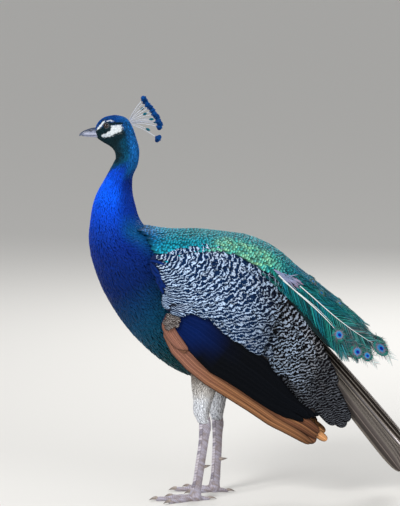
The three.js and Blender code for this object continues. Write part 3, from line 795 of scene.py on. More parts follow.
def makeSkin():
    bm = newForm()
    gridOver(bm, skinPoint, (0, headRib), (0, tau), *skinGrid["head"], plumageColour)
    gridOver(bm, skinPoint, (headRib, tailRib), (0, tau), *skinGrid["body"], plumageColour)
    for side, rows in thighs.items():
        leg = lambda u, v, rows=rows, y=sides[side] * hipY: limbPoint(rows, y, u, v, -skinGrid["thighDepth"])
        gridOver(bm, leg, (0, len(rows) - 1), (0, tau), *skinGrid["thigh"], thighColour)
    closeForm(bm)
    nodes = ("head", "neck", "breast", "trunk", "thigh_left", "thigh_right")
    addPiece(meshOf(bm, "skin"), skinMaterial, nodes)


makeSkin()
print("skin ready")

# Coat of small feathers, one piece for each region
coats = dict(
    head=dict(places=(0.15, 7.4), step=lambda u: np.interp(u, [0, 3, 7], [1.5, 1.7, 2.2]),
              gap=lambda u: np.interp(u, [0, 3, 7], [1.1, 1.3, 1.8]), length=(3.2, 5.5), half=(0.75, 1.0),
              outline="soft", sink=1.0, lift=0.25, crown=0.3, material=headMaterial, slot="head_feathers"),
    neck=dict(places=(7.2, 13.6), step=lambda u: np.interp(u, [7, 13], [2.4, 3.4]),
              gap=lambda u: np.interp(u, [7, 13], [1.9, 2.6]), length=(8, 12), half=(1.3, 2.0),
              outline="soft", sink=2.2, lift=0.25, crown=0.4, material=neckMaterial, slot="blue_feathers"),
    breast=dict(places=(13.4, 17.2), step=4.2, gap=3.2, length=(13, 16), half=(2.4, 2.9),
                outline="soft", sink=3.2, lift=0.3, crown=0.45, material=neckMaterial, slot="blue_feathers"),
    belly=dict(places=(17.0, 22.9), step=5.6, gap=4.6, length=(17, 20), half=(3.2, 3.6),
               outline="soft", sink=3.6, lift=0.7, crown=0.55, material=neckMaterial, slot="green_feathers"),
)

# No feathers grow on the eye or on the bare marks
clearing = dict(stretch=1.15, radius=6.4, root=0.45, tip=0.7)
coatStations, coatVariety = 4, 0.15


def makeCoat(name, spec, seed):
    place, angle = spread(bodyPoint, spec["places"], (0, tau), spec["step"], spec["gap"], seed)
    point = bodyPoint(place, angle)
    fromEye = np.hypot((point[:, 0] - eyes["x"]) / clearing["stretch"], point[:, 2] - eyes["z"])
    keep = (fromEye > clearing["radius"]) & (bareMask(point) < clearing["root"])
    place, angle, point = place[keep], angle[keep], point[keep]
    t = (place - spec["places"][0]) / (spec["places"][1] - spec["places"][0])
    size = varied(seed + 1, coatVariety, len(place))
    length = np.interp(t, [0, 1], spec["length"]) * size
    half = np.interp(t, [0, 1], spec["half"]) * size
    frames = lieOn(bodyPoint, place, angle, length, coatStations, -1)
    clear = bareMask(frames[0][:, -1]) < clearing["tip"]
    frames = [part[clear] for part in frames]
    place, angle, half, t = place[clear], angle[clear], half[clear], t[clear]
    vanes = raiseVanes(frames, half, spec, seed + 2)
    colour = plumageColour(place, angle, point[clear])
    mesh = vaneMesh(f"{name}Coat", vanes, colour, np.stack([t, angle / tau], -1))
    addPiece(mesh, spec["material"])
    print(f"{name} coat: {len(place)} feathers")


for number, (name, spec) in enumerate(coats.items()):
    makeCoat(name, spec, 100 + 10 * number)

# Wings: panels of feathers that lie on the flank. Ribs: upper x, upper z, lower x, lower z
wings = dict(
    coverts=dict(depth=0, thick=4.4, lining="#1b2033", ribs=np.array([
        (-112, 495, -112, 481), (-98, 507, -98, 447), (-82, 514, -86, 415), (-54, 517, -78, 389),
        (-4, 519, -28, 384), (46, 511, 6, 373), (90, 493, 38, 351), (130, 461, 72, 321),
        (158, 419, 106, 301)], float)),
    tertials=dict(depth=0, thick=4.4, lining="#231f20", ribs=np.array([
        (159.5, 416, 107.5, 299), (176, 392, 128, 279), (198, 359, 146, 257), (222, 323, 164, 233),
        (246, 279, 190, 203), (262, 243, 214, 179)], float)),
    secondaries=dict(depth=5, thick=4.2, lining="#0c1020", ribs=np.array([
        (-60, 399, -72, 361), (-22, 407, -56, 335), (22, 397, -28, 305), (62, 373, 4, 269),
        (102, 341, 50, 243), (146, 301, 100, 209), (186, 251, 146, 183), (212, 215, 186, 169)], float)),
    alula=dict(depth=5, thick=4, lining="#7a5440", ribs=np.array([
        (-80, 387, -90, 367), (-72, 371, -86, 349), (-59, 346, -72, 325), (-37, 311, -45, 303)], float)),
    primaries=dict(depth=9.6, thick=5, lining="#5d4030", ribs=np.array([
        (-66, 373, -86, 361), (-48, 349, -86, 339), (-14, 319, -72, 307), (22, 291, -40, 271),
        (66, 267, 2, 236), (112, 233, 60, 200), (160, 197, 120, 158), (180, 181, 142, 147)], float)),
)
# Past the panel's end the flight feathers run on to their tips
runOn = dict(
    secondaries=[(226, 176, 208, 146)],
    primaries=[(206, 166, 172, 130), (230, 146, 206, 108)],
)
# Long tertials, one by one: root x, root z, tip x, tip z, half width
tertialTips = [(184, 350, 274, 176, 14), (172, 316, 282, 162, 15), (164, 290, 276, 152, 15),
               (156, 272, 258, 158, 12)]
hiddenTips = [(90, 215, 217, 119, 14), (150, 188, 240, 122, 9)]
# The front edge of the folded wing, under the breast's feathers
coverFront = dict(z=(380, 408, 418, 438, 448, 458, 472, 486, 500),
                  x=(-76, -77, -88, -90, -84, -89, -100, -108, -104))


def panelPoint(panel, place, v, inward=0.0):
    ux, uz, lx, lz = np.moveaxis(tableAt(panel["ribs"], place), -1, 0)
    x, z = ux + (lx - ux) * v, uz + (lz - uz) * v
    return np.stack([x, -(flankAt(x, z) - panel["depth"] - inward), z], -1)


def flankPoint(x, z, inward=0.0):
    x, z = np.broadcast_arrays(x, z)
    return np.stack([x, -(flankAt(x, z) - inward), z], -1)


# A lining in each panel, thin toward its upper edge
liningForm = dict(edge=2.4, reach=0.49, margin=0.05, grid=(40, 28), shade=0.6)


def liningPoint(panel, sign, u, w):
    middle, thin = (panel["thick"] + liningForm["edge"]) / 2, (panel["thick"] - liningForm["edge"]) / 2
    v = 0.5 - liningForm["reach"] * np.cos(tau * w)
    return panelPoint(panel, u, v, middle - thin * np.sin(tau * w)) * (1, -sign, 1)


def liningTint(panel, points):
    return mixed(dye(panel["lining"]), dyes["ink"] * liningForm["shade"], smooth(-66, -96, points[:, 0]))


def makeLinings():
    for side, sign in sides.items():
        bm = newForm()
        for panel in wings.values():
            lining = lambda u, w, panel=panel: liningPoint(panel, sign, u, w)
            tint = lambda u, w, points, panel=panel: liningTint(panel, points)
            ends = (liningForm["margin"], len(panel["ribs"]) - 1 - liningForm["margin"])
            gridOver(bm, lining, ends, (0, 1), *liningForm["grid"], tint)
        closeForm(bm)
        addPiece(meshOf(bm, f"wingLining_{side}"), skinMaterial)


makeLinings()


# Wavy light bars: bar holds their phase and the place on the wing; mark their warmth and dimness
def makeBarGroup():
    group, given, result = shaderGroup("wavyBars", {
        "Dark": (0.01, 0.01, 0.02, 1), "Light": (0.6, 0.6, 0.7, 1), "Warm": (0.5, 0.4, 0.3, 1),
        "Dim": (0.2, 0.2, 0.2, 1), "Wave": 2.0, "Kink": 1.0}, ("Colour",))
    bar = attributeOf(group, "bar")
    mark = partsOf(group, attributeOf(group, "mark"))
    broad = minus(group, noiseNode(group, bar, 0.08, 1), 0.5)
    fine = minus(group, noiseNode(group, bar, 0.3, 1), 0.5)
    phase = plus(group, partsOf(group, bar)[0], times(group, broad, given["Wave"]))
    phase = plus(group, phase, times(group, fine, given["Kink"]))
    wave = mathNode(group, "SINE", times(group, phase, tau))
    gaps = ramp(group, noiseNode(group, bar, 0.2, 0), 0.32, 0.46, 0.6, 1.0)
    bars = times(group, ramp(group, wave, 0.1, 0.9), gaps)
    light = mixColour(group, mark[0], given["Light"], given["Warm"])
    light = mixColour(group, mark[1], light, given["Dim"])
    link(group, mixColour(group, bars, given["Dark"], light), result["Colour"])
    return group


barColours = {"Light": linearFour("#bad4f4"), "Warm": linearFour("#aea8a6"), "Dim": linearFour("#43464c")}


def barPattern(tree):
    colours = {"Dark": attributeOf(tree, "tint", "Color"), **barColours}
    return groupNode(tree, makeBarGroup(), colours)["Colour"]


barredMaterial = plumageMaterial("barredFeathers", gloss(0.7, 0.04),
                                 barbLook(0.8, 1.05, 0.1, edge=0.75, shaft=0.8), barPattern, 0.2)
darkMaterial = plumageMaterial("darkBlueFeathers", gloss(0.5, 0.05, 0.1),
                               barbLook(0.9, 1.0, 0.12, edge=0.75, shaft=1.0))
rufousMaterial = plumageMaterial("rufousFeathers", gloss(0.6, 0.15),
                                 barbLook(1.0, 0.95, 0.12, edge=0.65, shaft=1.8))


# The way the bars run over the wing: x, z, slope of their normal below the x axis in degrees, pitch
barHints = np.array([
    (-83, 486, 50, 6.5), (-53, 474, 50, 7), (-63, 430, 92, 5), (-33, 410, 90, 5.5), (-14, 494, 15, 9),
    (45, 486, 5, 9.5), (85, 470, 20, 9), (10, 426, 75, 9.5), (65, 426, 57, 9), (6, 390, 88, 8),
    (65, 370, 85, 8),
    (114, 410, 60, 8.5), (124, 350, 80, 8), (183, 320, 75, 8), (163, 270, 78, 7), (223, 260, 70, 7),
    (213, 210, 70, 5), (262, 170, 70, 4.4), (-4, 454, 45, 9),
], float)
# Powers of x and z in the bars' phase, which is fitted to those ways
barPowers = [(i, j) for i in range(5) for j in range(5 - i) if i + j]
barScale = 150.0


def fitBars():
    x, z = barHints[:, 0] / barScale, barHints[:, 1] / barScale
    slope = np.radians(barHints[:, 2])
    alongX = np.stack([i * x ** max(i - 1, 0) * z ** j for i, j in barPowers], 1)
    alongZ = np.stack([j * x ** i * z ** max(j - 1, 0) for i, j in barPowers], 1)
    wanted = np.concatenate([np.cos(slope), -np.sin(slope)]) * barScale / np.tile(barHints[:, 3], 2)
    return np.linalg.lstsq(np.concatenate([alongX, alongZ]), wanted, rcond=None)[0]


barWeights = fitBars()


def barValues(vanes, loose):
    x, z = vanes["top"][..., 0], vanes["top"][..., 2]
    terms = zip(barWeights, barPowers)
    phase = sum(weight * (x / barScale) ** i * (z / barScale) ** j for weight, (i, j) in terms)
    seeds = vanes["seeds"][:, None, None]
    tilt = vanes["run"][..., 0] * np.sin(seeds * 60) * 0.03
    return np.stack([phase + (seeds - 0.5) * loose + tilt, x + seeds, z], -1)


def barMarks(x, z):  # warmth and dimness of the light bars
    front = 1 - smooth(-104, -84, x)
    rear = 0.05 + 0.55 * smooth(130, 230, x) + 0.25 * smooth(0.6, 0.9, patchNoise(x, z, 17))
    outward = x + 0.6 * (300 - z)
    dim = 0.42 * smooth(40, 140, x) + 0.56 * smooth(185, 245, outward)
    dim = dim + 0.3 * smooth(410, 350, z) * smooth(-40, 30, x) * smooth(170, 110, x)
    return triples(np.maximum(0.7 * front, rear), np.clip(dim, 0, 0.93))


def barTint(x, z):
    return mixed(dye("#08080b"), dye("#0b2446"), 1 - smooth(50, 150, x))


# Feathers of the wing. Long ones have more stations, closer together toward the tip
longStations = towardTip(16)
longFeather = dict(across=featherRib, outline="blade", sink=0.6, lift=0.3, crown=0.8, shaft=0.7, yaw=0.4,
                   roll=1, stations=longStations)
coverts = dict(across=softRib, outline="scale", sink=1.8, lift=0.5, crown=1.1, yaw=6, roll=3,
               step=9, gap=10.5, length=(16, 28, 38), half=(5.5, 8.6, 10.4))
shoulder = dict(across=softRib, outline="soft", sink=1.0, lift=0.6, crown=0.8, yaw=6, roll=3,
                step=6, length=15.0, half=3.6, lowest=428, overlap=3)
buff = dict(count=9, middle=(-71, 369), turn=2.4, gap=4.6, length=13, half=6.4, colour="#2a1d18",
            lean=(0.8, -0.6), out=(-0.35, -1.0, 0.25), height=0.4)
tertials = {**coverts, "across": featherRib, "shaft": 0.3, "yaw": 5, "step": 13, "gap": 15, "length": 50,
            "half": 12.5}
blades = dict(
    tertials=dict(count=6, start=0.0, tipBack=lambda v: 0.4 * v, seed=315, layerStep=0.8, half=12),
    secondaries=dict(count=11, start=0.0, tipBack=lambda v: 0.8 * v, seed=341, layerStep=2.0),
    primaries=dict(count=7, start=0.0, seed=337, layerStep=2.0,
                   tipBack=lambda v: 0.42 * np.maximum(v - 0.4, 0) ** 1.3 + 0.9 * np.maximum(0.3 - v, 0)),
    alula=dict(count=5, start=0.1, tipBack=lambda v: 0.5 * v, seed=354, layerStep=1.2),
)


def tipPaths(rows):  # x, z and half width of feathers from root to tip
    rx, rz, tx, tz, half = np.array(rows, float).T
    x = rx[:, None] + (tx - rx)[:, None] * longStations
    return x, rz[:, None] + (tz - rz)[:, None] * longStations, half


def bladesOn(panel, count, start, tipBack, seed, layerStep, half=None):
    last = len(panel["ribs"]) - 1
    height = np.linalg.norm(np.diff(panelPoint(panel, np.full(2, last * 0.55), np.array((0, 1))), axis=0))
    width = 0.9 * height / count if half is None else half
    margin = 0.9 * width / height
    v = np.linspace(margin, 1 - margin, count)
    u = start * last + (last - tipBack(v) - start * last)[:, None] * longStations
    frames = framesOn(lambda a, b: panelPoint(panel, a, b), u, np.broadcast_to(v[:, None], u.shape), 1)
    return raiseVanes(frames, width, longFeather, seed, layer=-v * layerStep)


def bothWings(name, vanes, tint, material, mark=None):
    for side, shown in withTwin(vanes):
        mesh = vaneMesh(f"{name}_{side}", shown, tint, mark=mark)
        addPiece(mesh, material, (f"wing_{side}_{name}",))


def barredWings(name, vanes, tint, marks, loose):
    vanes = {**vanes, "bar": barValues(vanes, loose)}
    bothWings(name, vanes, tint, barredMaterial, marks)


def behindFront(point):  # how far a place is behind the front edge of the wing
    return point[:, 0] - np.interp(point[:, 2], coverFront["z"], coverFront["x"])


def makeShoulder(surface):  # blue feathers of the breast lap over the front of the wing
    place, v = spread(surface, (0.0, 3.4), (0.0, 0.99), shoulder["step"], shoulder["step"], 306)
    point = surface(place, v)
    keep = (behindFront(point) < -shoulder["overlap"]) & (point[:, 2] > shoulder["lowest"])
    place, v, point = place[keep], v[keep], point[keep]
    vanes = raiseVanes(lieOn(surface, place, v, shoulder["length"], 6, 1), shoulder["half"], shoulder, 307)
    tint = mixed(dyes["ink"] * 0.6, dyes["ink"], smooth(400, 480, point[:, 2]))
    for side, shown in withTwin(vanes):
        addPiece(vaneMesh(f"shoulder_{side}", shown, tint), neckMaterial)


def buffFeathers():  # with dark scallops, in a whorl at the bend of the wing
    number = np.arange(buff["count"])
    away = buff["gap"] * np.sqrt(number + 0.3)
    x = buff["middle"][0] + away * 1.1 * np.cos(number * buff["turn"])
    z = buff["middle"][1] + away * np.sin(number * buff["turn"])
    s = buff["length"] * np.linspace(-0.5, 0.5, 8)
    path = flankPoint(x[:, None] + buff["lean"][0] * s, z[:, None] + buff["lean"][1] * s, -buff["height"])
    along = unit(np.gradient(path, axis=1))
    crossing = unit(np.cross(along, unit(np.broadcast_to(np.array(buff["out"]), path.shape))))
    return raiseVanes((path, along, crossing, np.cross(crossing, along)), buff["half"], coverts, 304)


def makeCoverts():
    surface = lambda u, v: panelPoint(wings["coverts"], u, v)
    place, v = spread(surface, (0.0, 7.7), (-0.05, 0.99), coverts["step"], coverts["gap"], 301)
    keep = behindFront(surface(place, v)) > shoulder["overlap"]
    keep &= v > np.interp(place, [0, 3, 4.5], [0.1, 0.06, -0.05])
    makeShoulder(surface)
    place, v = place[keep], v[keep]
    size = varied(302, 0.15, len(place))
    length = np.interp(place, [0, 3, 8], coverts["length"]) * size
    half = np.interp(place, [0, 3, 8], coverts["half"]) * size * (1 - 0.25 * smooth(0.8, 0.95, v))
    vanes = raiseVanes(lieOn(surface, place, v, length, 8, 1), half, coverts, 303)
    x, z = vanes["top"][:, 3, 2, 0], vanes["top"][:, 3, 2, 2]
    tint = np.concatenate([barTint(x, z), np.tile(dye(buff["colour"]), (buff["count"], 1))])
    marks = np.concatenate([barMarks(x, z), np.tile((1.0, 0.0, 0.0), (buff["count"], 1))])
    barredWings("coverts", together(vanes, buffFeathers()), tint, marks, 0.5)


def makeTertials():
    surface = lambda u, v: panelPoint(wings["tertials"], u, v)
    place, v = spread(surface, (-0.6, 3.4), (0.06, 0.9), tertials["step"], tertials["gap"], 311)
    size = varied(312, 0.15, len(place))
    frames = lieOn(surface, place, v, tertials["length"] * size, len(longStations), 1)
    upper = raiseVanes(frames, tertials["half"] * size, tertials, 313)
    x, z, half = tipPaths(tertialTips)
    spec = {**tertials, "outline": "blade", "yaw": 1, "stations": longStations}
    layer = -1.4 - 0.5 * np.arange(len(half))
    long = raiseVanes(framesOn(flankPoint, x, z, -1), half, spec, 314, layer)
    middle = bladesOn(wings["tertials"], **blades["tertials"])
    middle["top"] = middle["top"] + (0, 1.0, 0)
    vanes = together(upper, middle, long)
    x, z = vanes["top"][:, 9, 3, 0], vanes["top"][:, 9, 3, 2]
    barredWings("tertials", vanes, barTint(x, z), barMarks(x, z), 1.0)


def makeFlight():
    for name, rows in (*runOn.items(), ("alula", [])):
        ribs = np.concatenate([wings[name]["ribs"], np.array(rows, float).reshape(-1, 4)])
        vanes = bladesOn({**wings[name], "ribs": ribs}, **blades[name])
        if name == "primaries":
            x, z, half = tipPaths(hiddenTips)
            spec = {**longFeather, "sink": 0, "yaw": 0}
            under = lambda x, z: flankPoint(x, z, 12.5)
            vanes = together(vanes, raiseVanes(framesOn(under, x, z, -1), half, spec, 338, layer=(0, -1.2)))
        tint = flightTint(name, vanes)
        if name == "primaries":
            tint[-1] = dye("#c08a5c")
        if name == "secondaries":
            bothWings(name, vanes, tint, darkMaterial)
        else:
            bothWings(name, vanes, tint, rufousMaterial)


def flightTint(name, vanes):
    x, z = vanes["top"][..., 0], vanes["top"][..., 2]
    if name == "secondaries":
        return mixed(dye("#06090f"), dye("#041d55"), (1 - smooth(-20, 60, x)) * smooth(290, 340, z))
    edge = smooth(0.35, 0.95, np.abs(vanes["t"])) * (0.12 + 0.4 * smooth(-20, 60, x))
    rufous = mixed(dye("#7f5648"), dye("#6f4630"), smooth(-60, 60, x))
    gold = mixed(dye("#8a5f4d"), dye("#966a45"), smooth(-60, 60, x))
    light = mixed(rufous, gold, 0.6 * np.sin(vanes["seeds"] * 40)[:, None, None] ** 2)
    return mixed(light, dye("#2f1a10"), np.clip(edge + 0.45 * smooth(150, 225, x), 0, 0.85))


makeCoverts()
makeTertials()
makeFlight()
print("wings ready")


# Mantle: scale feathers over the back and the root of the train
mantle = dict(places=(0.2, 5.6), step=6.0, gap=6.6, length=17, half=5.0, across=softRib, outline="scale",
              sink=2.6, lift=0.6, crown=0.9, yaw=5, roll=4, variety=0.12,
              sidePlaces=(0.2, 0.6, 1.0, 1.5, 1.85, 2.0, 2.2, 2.5, 3, 3.5, 4, 4.5, 5, 5.6),
              side=(0.28, 0.4, 0.54, 0.6, 0.62, 0.53, 0.47, 0.4, 0.355, 0.345, 0.34, 0.36, 0.345, 0.29))


def ridgePoint(place, w, out=0.0):
    return capePoint(place, np.sign(w) * np.abs(w) ** 2, out)


def mantlePoint(place, w):
    return ridgePoint(place, w, np.interp(place, [0, 1.5, 2.6, 3.6, 9], [-9, -2.5, 0, 4.4, 4.8]))


def mantleColour(place, w, point):
    x, z = point[..., 0], point[..., 2]
    v = w ** 2
    base = mixed(dyes["lagoon"], dyes["teal"], smooth(0.3, 1.2, place - 1.2 * (np.abs(w) - 0.3)))
    base = mixed(base, dyes["ridge"], 0.75 * (1 - smooth(0.1, 0.45, np.abs(w))) * smooth(0.6, 1.8, place))
    gold = smooth(2.2, 3.0, place) * (1 - smooth(4.7, 5.6, place)) * smooth(0.012, 0.05, v)
    gold = gold * (0.45 + 0.55 * patchNoise(x, z + point[..., 1], 9))
    goldDye = mixed(dyes["jade"], dyes["gold"], patchNoise(x + 30, z, 6))
    return mixed(base, goldDye, np.clip(gold, 0, 1))


# A dark rim round each scale: mark holds its length and half width
def makeScaleGroup():
    group, given, result = shaderGroup("scaleRim", {
        "Colour": (0.1, 0.5, 0.5, 1), "Rim": (0.005, 0.04, 0.05, 1), "Rim Width": 2.6, "Glow": 1.5,
    }, ("Colour",))
    run = partsOf(group, attributeOf(group, "run"))
    mark = partsOf(group, attributeOf(group, "mark"))
    toTip = minus(group, mark[0], run[1])
    toSide = minus(group, mark[1], mathNode(group, "ABSOLUTE", run[0]))
    rim = ramp(group, mathNode(group, "MINIMUM", toTip, toSide), 0.2, given["Rim Width"], 1.0, 0.0)
    lit = shaded(group, given["Colour"], ramp(group, toTip, 2.0, 6.0, given["Glow"], 0.55))
    link(group, mixColour(group, rim, lit, given["Rim"]), result["Colour"])
    return group


def scalePattern(tree):
    return groupNode(tree, makeScaleGroup(), {"Colour": attributeOf(tree, "tint", "Color")})["Colour"]


def mantleSide(place):
    return np.interp(place, mantle["sidePlaces"], mantle["side"])


def makeMantle():
    material = plumageMaterial("scaleFeathers", gloss(0.5, 0.05, 0.3), barbLook(0.8, 1.1, 0.2, edge=1.0),
                               scalePattern, 0.2)
    place, q = spread(lambda u, q: mantlePoint(u, q * mantleSide(u)), mantle["places"], (-1, 1),
                      mantle["step"], mantle["gap"], 401)
    w = q * mantleSide(place)
    size = varied(402, mantle["variety"], len(place))
    length, half = mantle["length"] * size, mantle["half"] * size
    vanes = raiseVanes(lieOn(mantlePoint, place, w, length, 7, -1), half, mantle, 403)
    uv = np.stack([(place - 0.2) / 5.4, w / 1.3 + 0.5], -1)
    colour = mantleColour(place, w, mantlePoint(place, w))
    mesh = vaneMesh("mantle", vanes, colour, uv, mark=triples(length, half))
    addPiece(mesh, material)
    print(f"mantle: {len(place)} feathers")


makeMantle()
print("mantle ready")


# Train: a lining under plumes with loose barbs; the lining's near-black green is painted shade, seen through
# the gaps between the barbs. Knots: place on the ridge ribs, w to the left side
train = dict(reachPlaces=(2.9, 3.3, 4, 5, 5.5, 6, 6.5, 7, 7.6, 8.2),
             reach=(0.05, 0.08, 0.09, 0.09, 0.12, 0.17, 0.2, 0.24, 0.27, 0.27), start=3.2, stop=8.2,
             lining="#072124", height=2.4, thick=0.9, grid=(60, 48))
plumes = dict(start=4.9, step=22, gap=15, height=3.6, length=23, angle=30, half=0.6, stations=36,
              endSides=(0, 0.15, 0.2, 0.3, 0.44, 0.51, 0.56), ends=(8.3, 8.5, 8.9, 8.9, 8.6, 8.3, 7.7))
eyedPlumes = dict(tips=((7.87, -0.415, 1.0), (8.54, -0.432, 1.0), (8.84, -0.405, 0.8), (9.13, -0.247, 1.2),
                        (6.34, -0.132, 0.5), (6.77, -0.195, 0.45), (7.54, -0.142, 0.5)),
                  length=17, angle=38, half=0.5, stations=67, eyeStation=60, heights=(4.0, 7.6))
silk = dict(upper=((4.9, -0.315), (5.9, -0.34), (6.9, -0.366), (7.87, -0.415)),
            lower=((5.5, -0.275), (6.7, -0.294), (7.9, -0.315), (9.13, -0.247)),
            third=((5.6, -0.345), (6.7, -0.352), (7.6, -0.385)),
            angles=(36, 42), half=0.8, stations=110, lightAndShade=(1.55, 1.55, 1.4, 1.4, 0.2, 0.2),
            shaftHalf=(2.3, 1.7, 1.0), shaftColour="#f4f9fb")
trainMaterial = plumageMaterial("trainBarbs", gloss(0.42, 0.12, 0.2),
                                barbLook(0.8, 1.15, 0.3, edge=1.0, shaft=1.0))


def trainSide(place):
    return np.sqrt(np.interp(place, train["reachPlaces"], train["reach"]))


def trainLining(u, q):
    return ridgePoint(u, -trainSide(u) * np.cos(tau * q), train["height"] + train["thick"] * np.sin(tau * q))


def makeTrainLining():
    bm = newForm()
    ends = (train["start"], train["stop"])
    # the lining's dark green is painted shade deep among the barbs
    gridOver(bm, trainLining, ends, (0, 1), *train["grid"], lambda u, q, points: dye(train["lining"]))
    closeForm(bm)
    addPiece(meshOf(bm, "trainLining"), skinMaterial, ("train",))


# Barbs stand in two rows on a shaft; lengths and angles may differ between the rows
barbForm = dict(stations=4, bend=0.12, droop=0.05, taper=0.75, ridge=0.35, rises=(-0.04, 0.07),
                lengths=(0.85, 1.08))


def barbVanes(frames, lengths, angle, seed, half, order=0.1):
    point, along, crossing, normal = (part[:, :, None] for part in frames)
    rng = np.random.default_rng(seed)
    shape = (point.shape[0], point.shape[1], 2)
    side = np.array([-1.0, 1.0])
    turn = np.radians(angle) * rng.uniform(1 - order, 1 + order, shape)
    way = along * np.cos(turn)[..., None] + crossing * (side * np.sin(turn))[..., None]
    way = unit(way + normal * rng.uniform(*barbForm["rises"], shape)[..., None])
    length = np.broadcast_to(lengths, shape) * rng.uniform(*barbForm["lengths"], shape)
    flat = [np.broadcast_to(part, way.shape).reshape(-1, 1, 3) for part in (point, normal, along, way)]
    root, up, forward, way = flat
    stations = np.linspace(0, 1, barbForm["stations"])[None, :]
    reach = length.reshape(-1, 1) * stations
    centre = root + way * reach[..., None] + forward * (barbForm["bend"] * reach * stations)[..., None]
    centre = centre - up * (barbForm["droop"] * reach * stations)[..., None]
    across = unit(np.cross(way, up))
    width = half * (1 - barbForm["taper"] * stations ** 2)
    t = np.array([-1.0, 0.0, 1.0])
    top = centre[:, :, None] - across[:, :, None] * (width[..., None] * t)[..., None]
    top = top + up[:, :, None] * (barbForm["ridge"] * half * (1 - t ** 2))[..., None]
    return vanesOf(top, width, reach, t, rng.random(len(root)))


def streaks(plumeCount, stations, low, high, seed, width=3):  # barbs side by side share a shade
    shades = np.random.default_rng(seed).uniform(low, high, (plumeCount, stations // width + 1, 2))
    return np.repeat(shades, width, axis=1)[:, :stations].reshape(-1, 1)


def knotWeights(places, count):  # for a curve through evenly spaced knots
    return np.vander(places, count) @ np.linalg.inv(np.vander(np.linspace(0, 1, count), count))


def plumePath(knots, count):  # knots: plume, knot, (place, w, height)
    knots = np.asarray(knots, float)
    weights = knotWeights(np.linspace(0, 1, count), knots.shape[1])
    u, side, out = np.moveaxis(np.einsum("sk,pkc->psc", weights, knots), -1, 0)
    return framesOn(lambda a, b: ridgePoint(a, b, out), u, side, -1, 0.01)


def withHeight(path, low, high):
    return [(*knot, height) for knot, height in zip(path, np.linspace(low, high, len(path)))]


def laterPart(path, start):  # the same path from a later start
    return knotWeights(np.linspace(start, 1, len(path)), len(path)) @ np.array(path)


def trainColour(point, seeds):
    x, y, z = np.moveaxis(point, -1, 0)
    colour = mixed(dye("#127b93"), dye("#229684"), 0.8 * patchNoise(x, z, 7))
    colour = mixed(colour, dye("#2a7fa0"), 0.8 * smooth(48, 22, np.abs(y)) * smooth(280, 200, x))
    end = smooth(225, 295, x) * smooth(390, 345, z)
    colour = mixed(colour, dye("#5a9a98"), 0.5 * end)
    colour = mixed(colour, dye("#8f7f86"), 0.75 * end * (np.abs(seeds - 0.35) < 0.13))
    return mixed(colour, dye("#0b3038"), 0.9 * (seeds > 0.72))


def addTrainPart(name, vanes, shade):
    root = vanes["top"][:, 0, 1]
    colour = trainColour(root, vanes["seeds"]) * shade
    uv = np.stack([(root[:, 0] - 100) / 310, root[:, 1] / 170 + 0.5], -1)
    addPiece(vaneMesh(name, vanes, colour, uv), trainMaterial)


def makePlumes():
    rng = np.random.default_rng(501)
    surface = lambda u, q: ridgePoint(u, q * trainSide(u), 3.0)
    places = (plumes["start"], train["stop"])
    place, q = spread(surface, places, (-0.97, 0.97), plumes["step"], plumes["gap"], 502)
    w = q * trainSide(place)
    ends = np.interp(np.abs(w), plumes["endSides"], plumes["ends"]) + rng.uniform(-0.35, 0.1, len(place))
    ends = np.minimum(place + rng.uniform(1.2, 1.8, len(place)), ends)
    keep = ends - place > 0.25
    place, w, ends = place[keep], w[keep], ends[keep]
    tipHeights = plumes["height"] + rng.uniform(0.5, 3.0, len(place))
    knots = np.stack([triples(place, w, plumes["height"]), triples(ends, w * 1.03, tipHeights)], 1)
    stations = plumes["stations"]
    s = np.linspace(0, 1, stations)
    grown = (0.5 + 0.5 * np.sin(np.pi * np.minimum(0.12 + s, 1) * 0.8)) * (1 - 0.45 * s ** 6)
    lengths = plumes["length"] * grown[:, None]
    barbs = barbVanes(plumePath(knots, stations), lengths, plumes["angle"], 503, plumes["half"])
    shade = streaks(len(place), stations, 0.3, 1.65, 504)
    left = barbs["top"][:, 0, 1, 1] < 0
    for side, chosen in (("left", left), ("right", ~left)):
        part = {key: value if key == "t" else value[chosen] for key, value in barbs.items()}
        addTrainPart(f"trainCoverts_{side}", part, shade[chosen])
    print(f"train: {len(place)} plumes, {len(barbs['seeds'])} barbs")


def makeEyedPlumes():  # plumes with an eye at the tip; those of the other side mirror them
    u, w, scale = np.array(eyedPlumes["tips"]).T
    low, high = eyedPlumes["heights"]
    starts = triples(np.maximum(u - 3.0, plumes["start"]), w * 0.92, low)
    stations = eyedPlumes["stations"]
    frames = plumePath(np.stack([starts, triples(u + 0.3, w * 1.01, high)], 1), stations)
    loose = np.interp(np.linspace(0, 1, stations), [0, 0.3, 0.85, 1], [0.3, 0.6, 1.0, 0.9])[:, None]
    lengths = eyedPlumes["length"] * loose * np.maximum(scale, 0.7)[:, None, None]
    barbs = barbVanes(frames, lengths, eyedPlumes["angle"], 511, eyedPlumes["half"])
    shade = streaks(len(scale), stations, 0.7, 1.5, 512)
    addTrainPart("trainPlumes", paired(barbs), np.tile(shade, (2, 1)))
    atEyes = [part[:, eyedPlumes["eyeStation"]] for part in frames]
    makeTrainEyes(atEyes, scale)


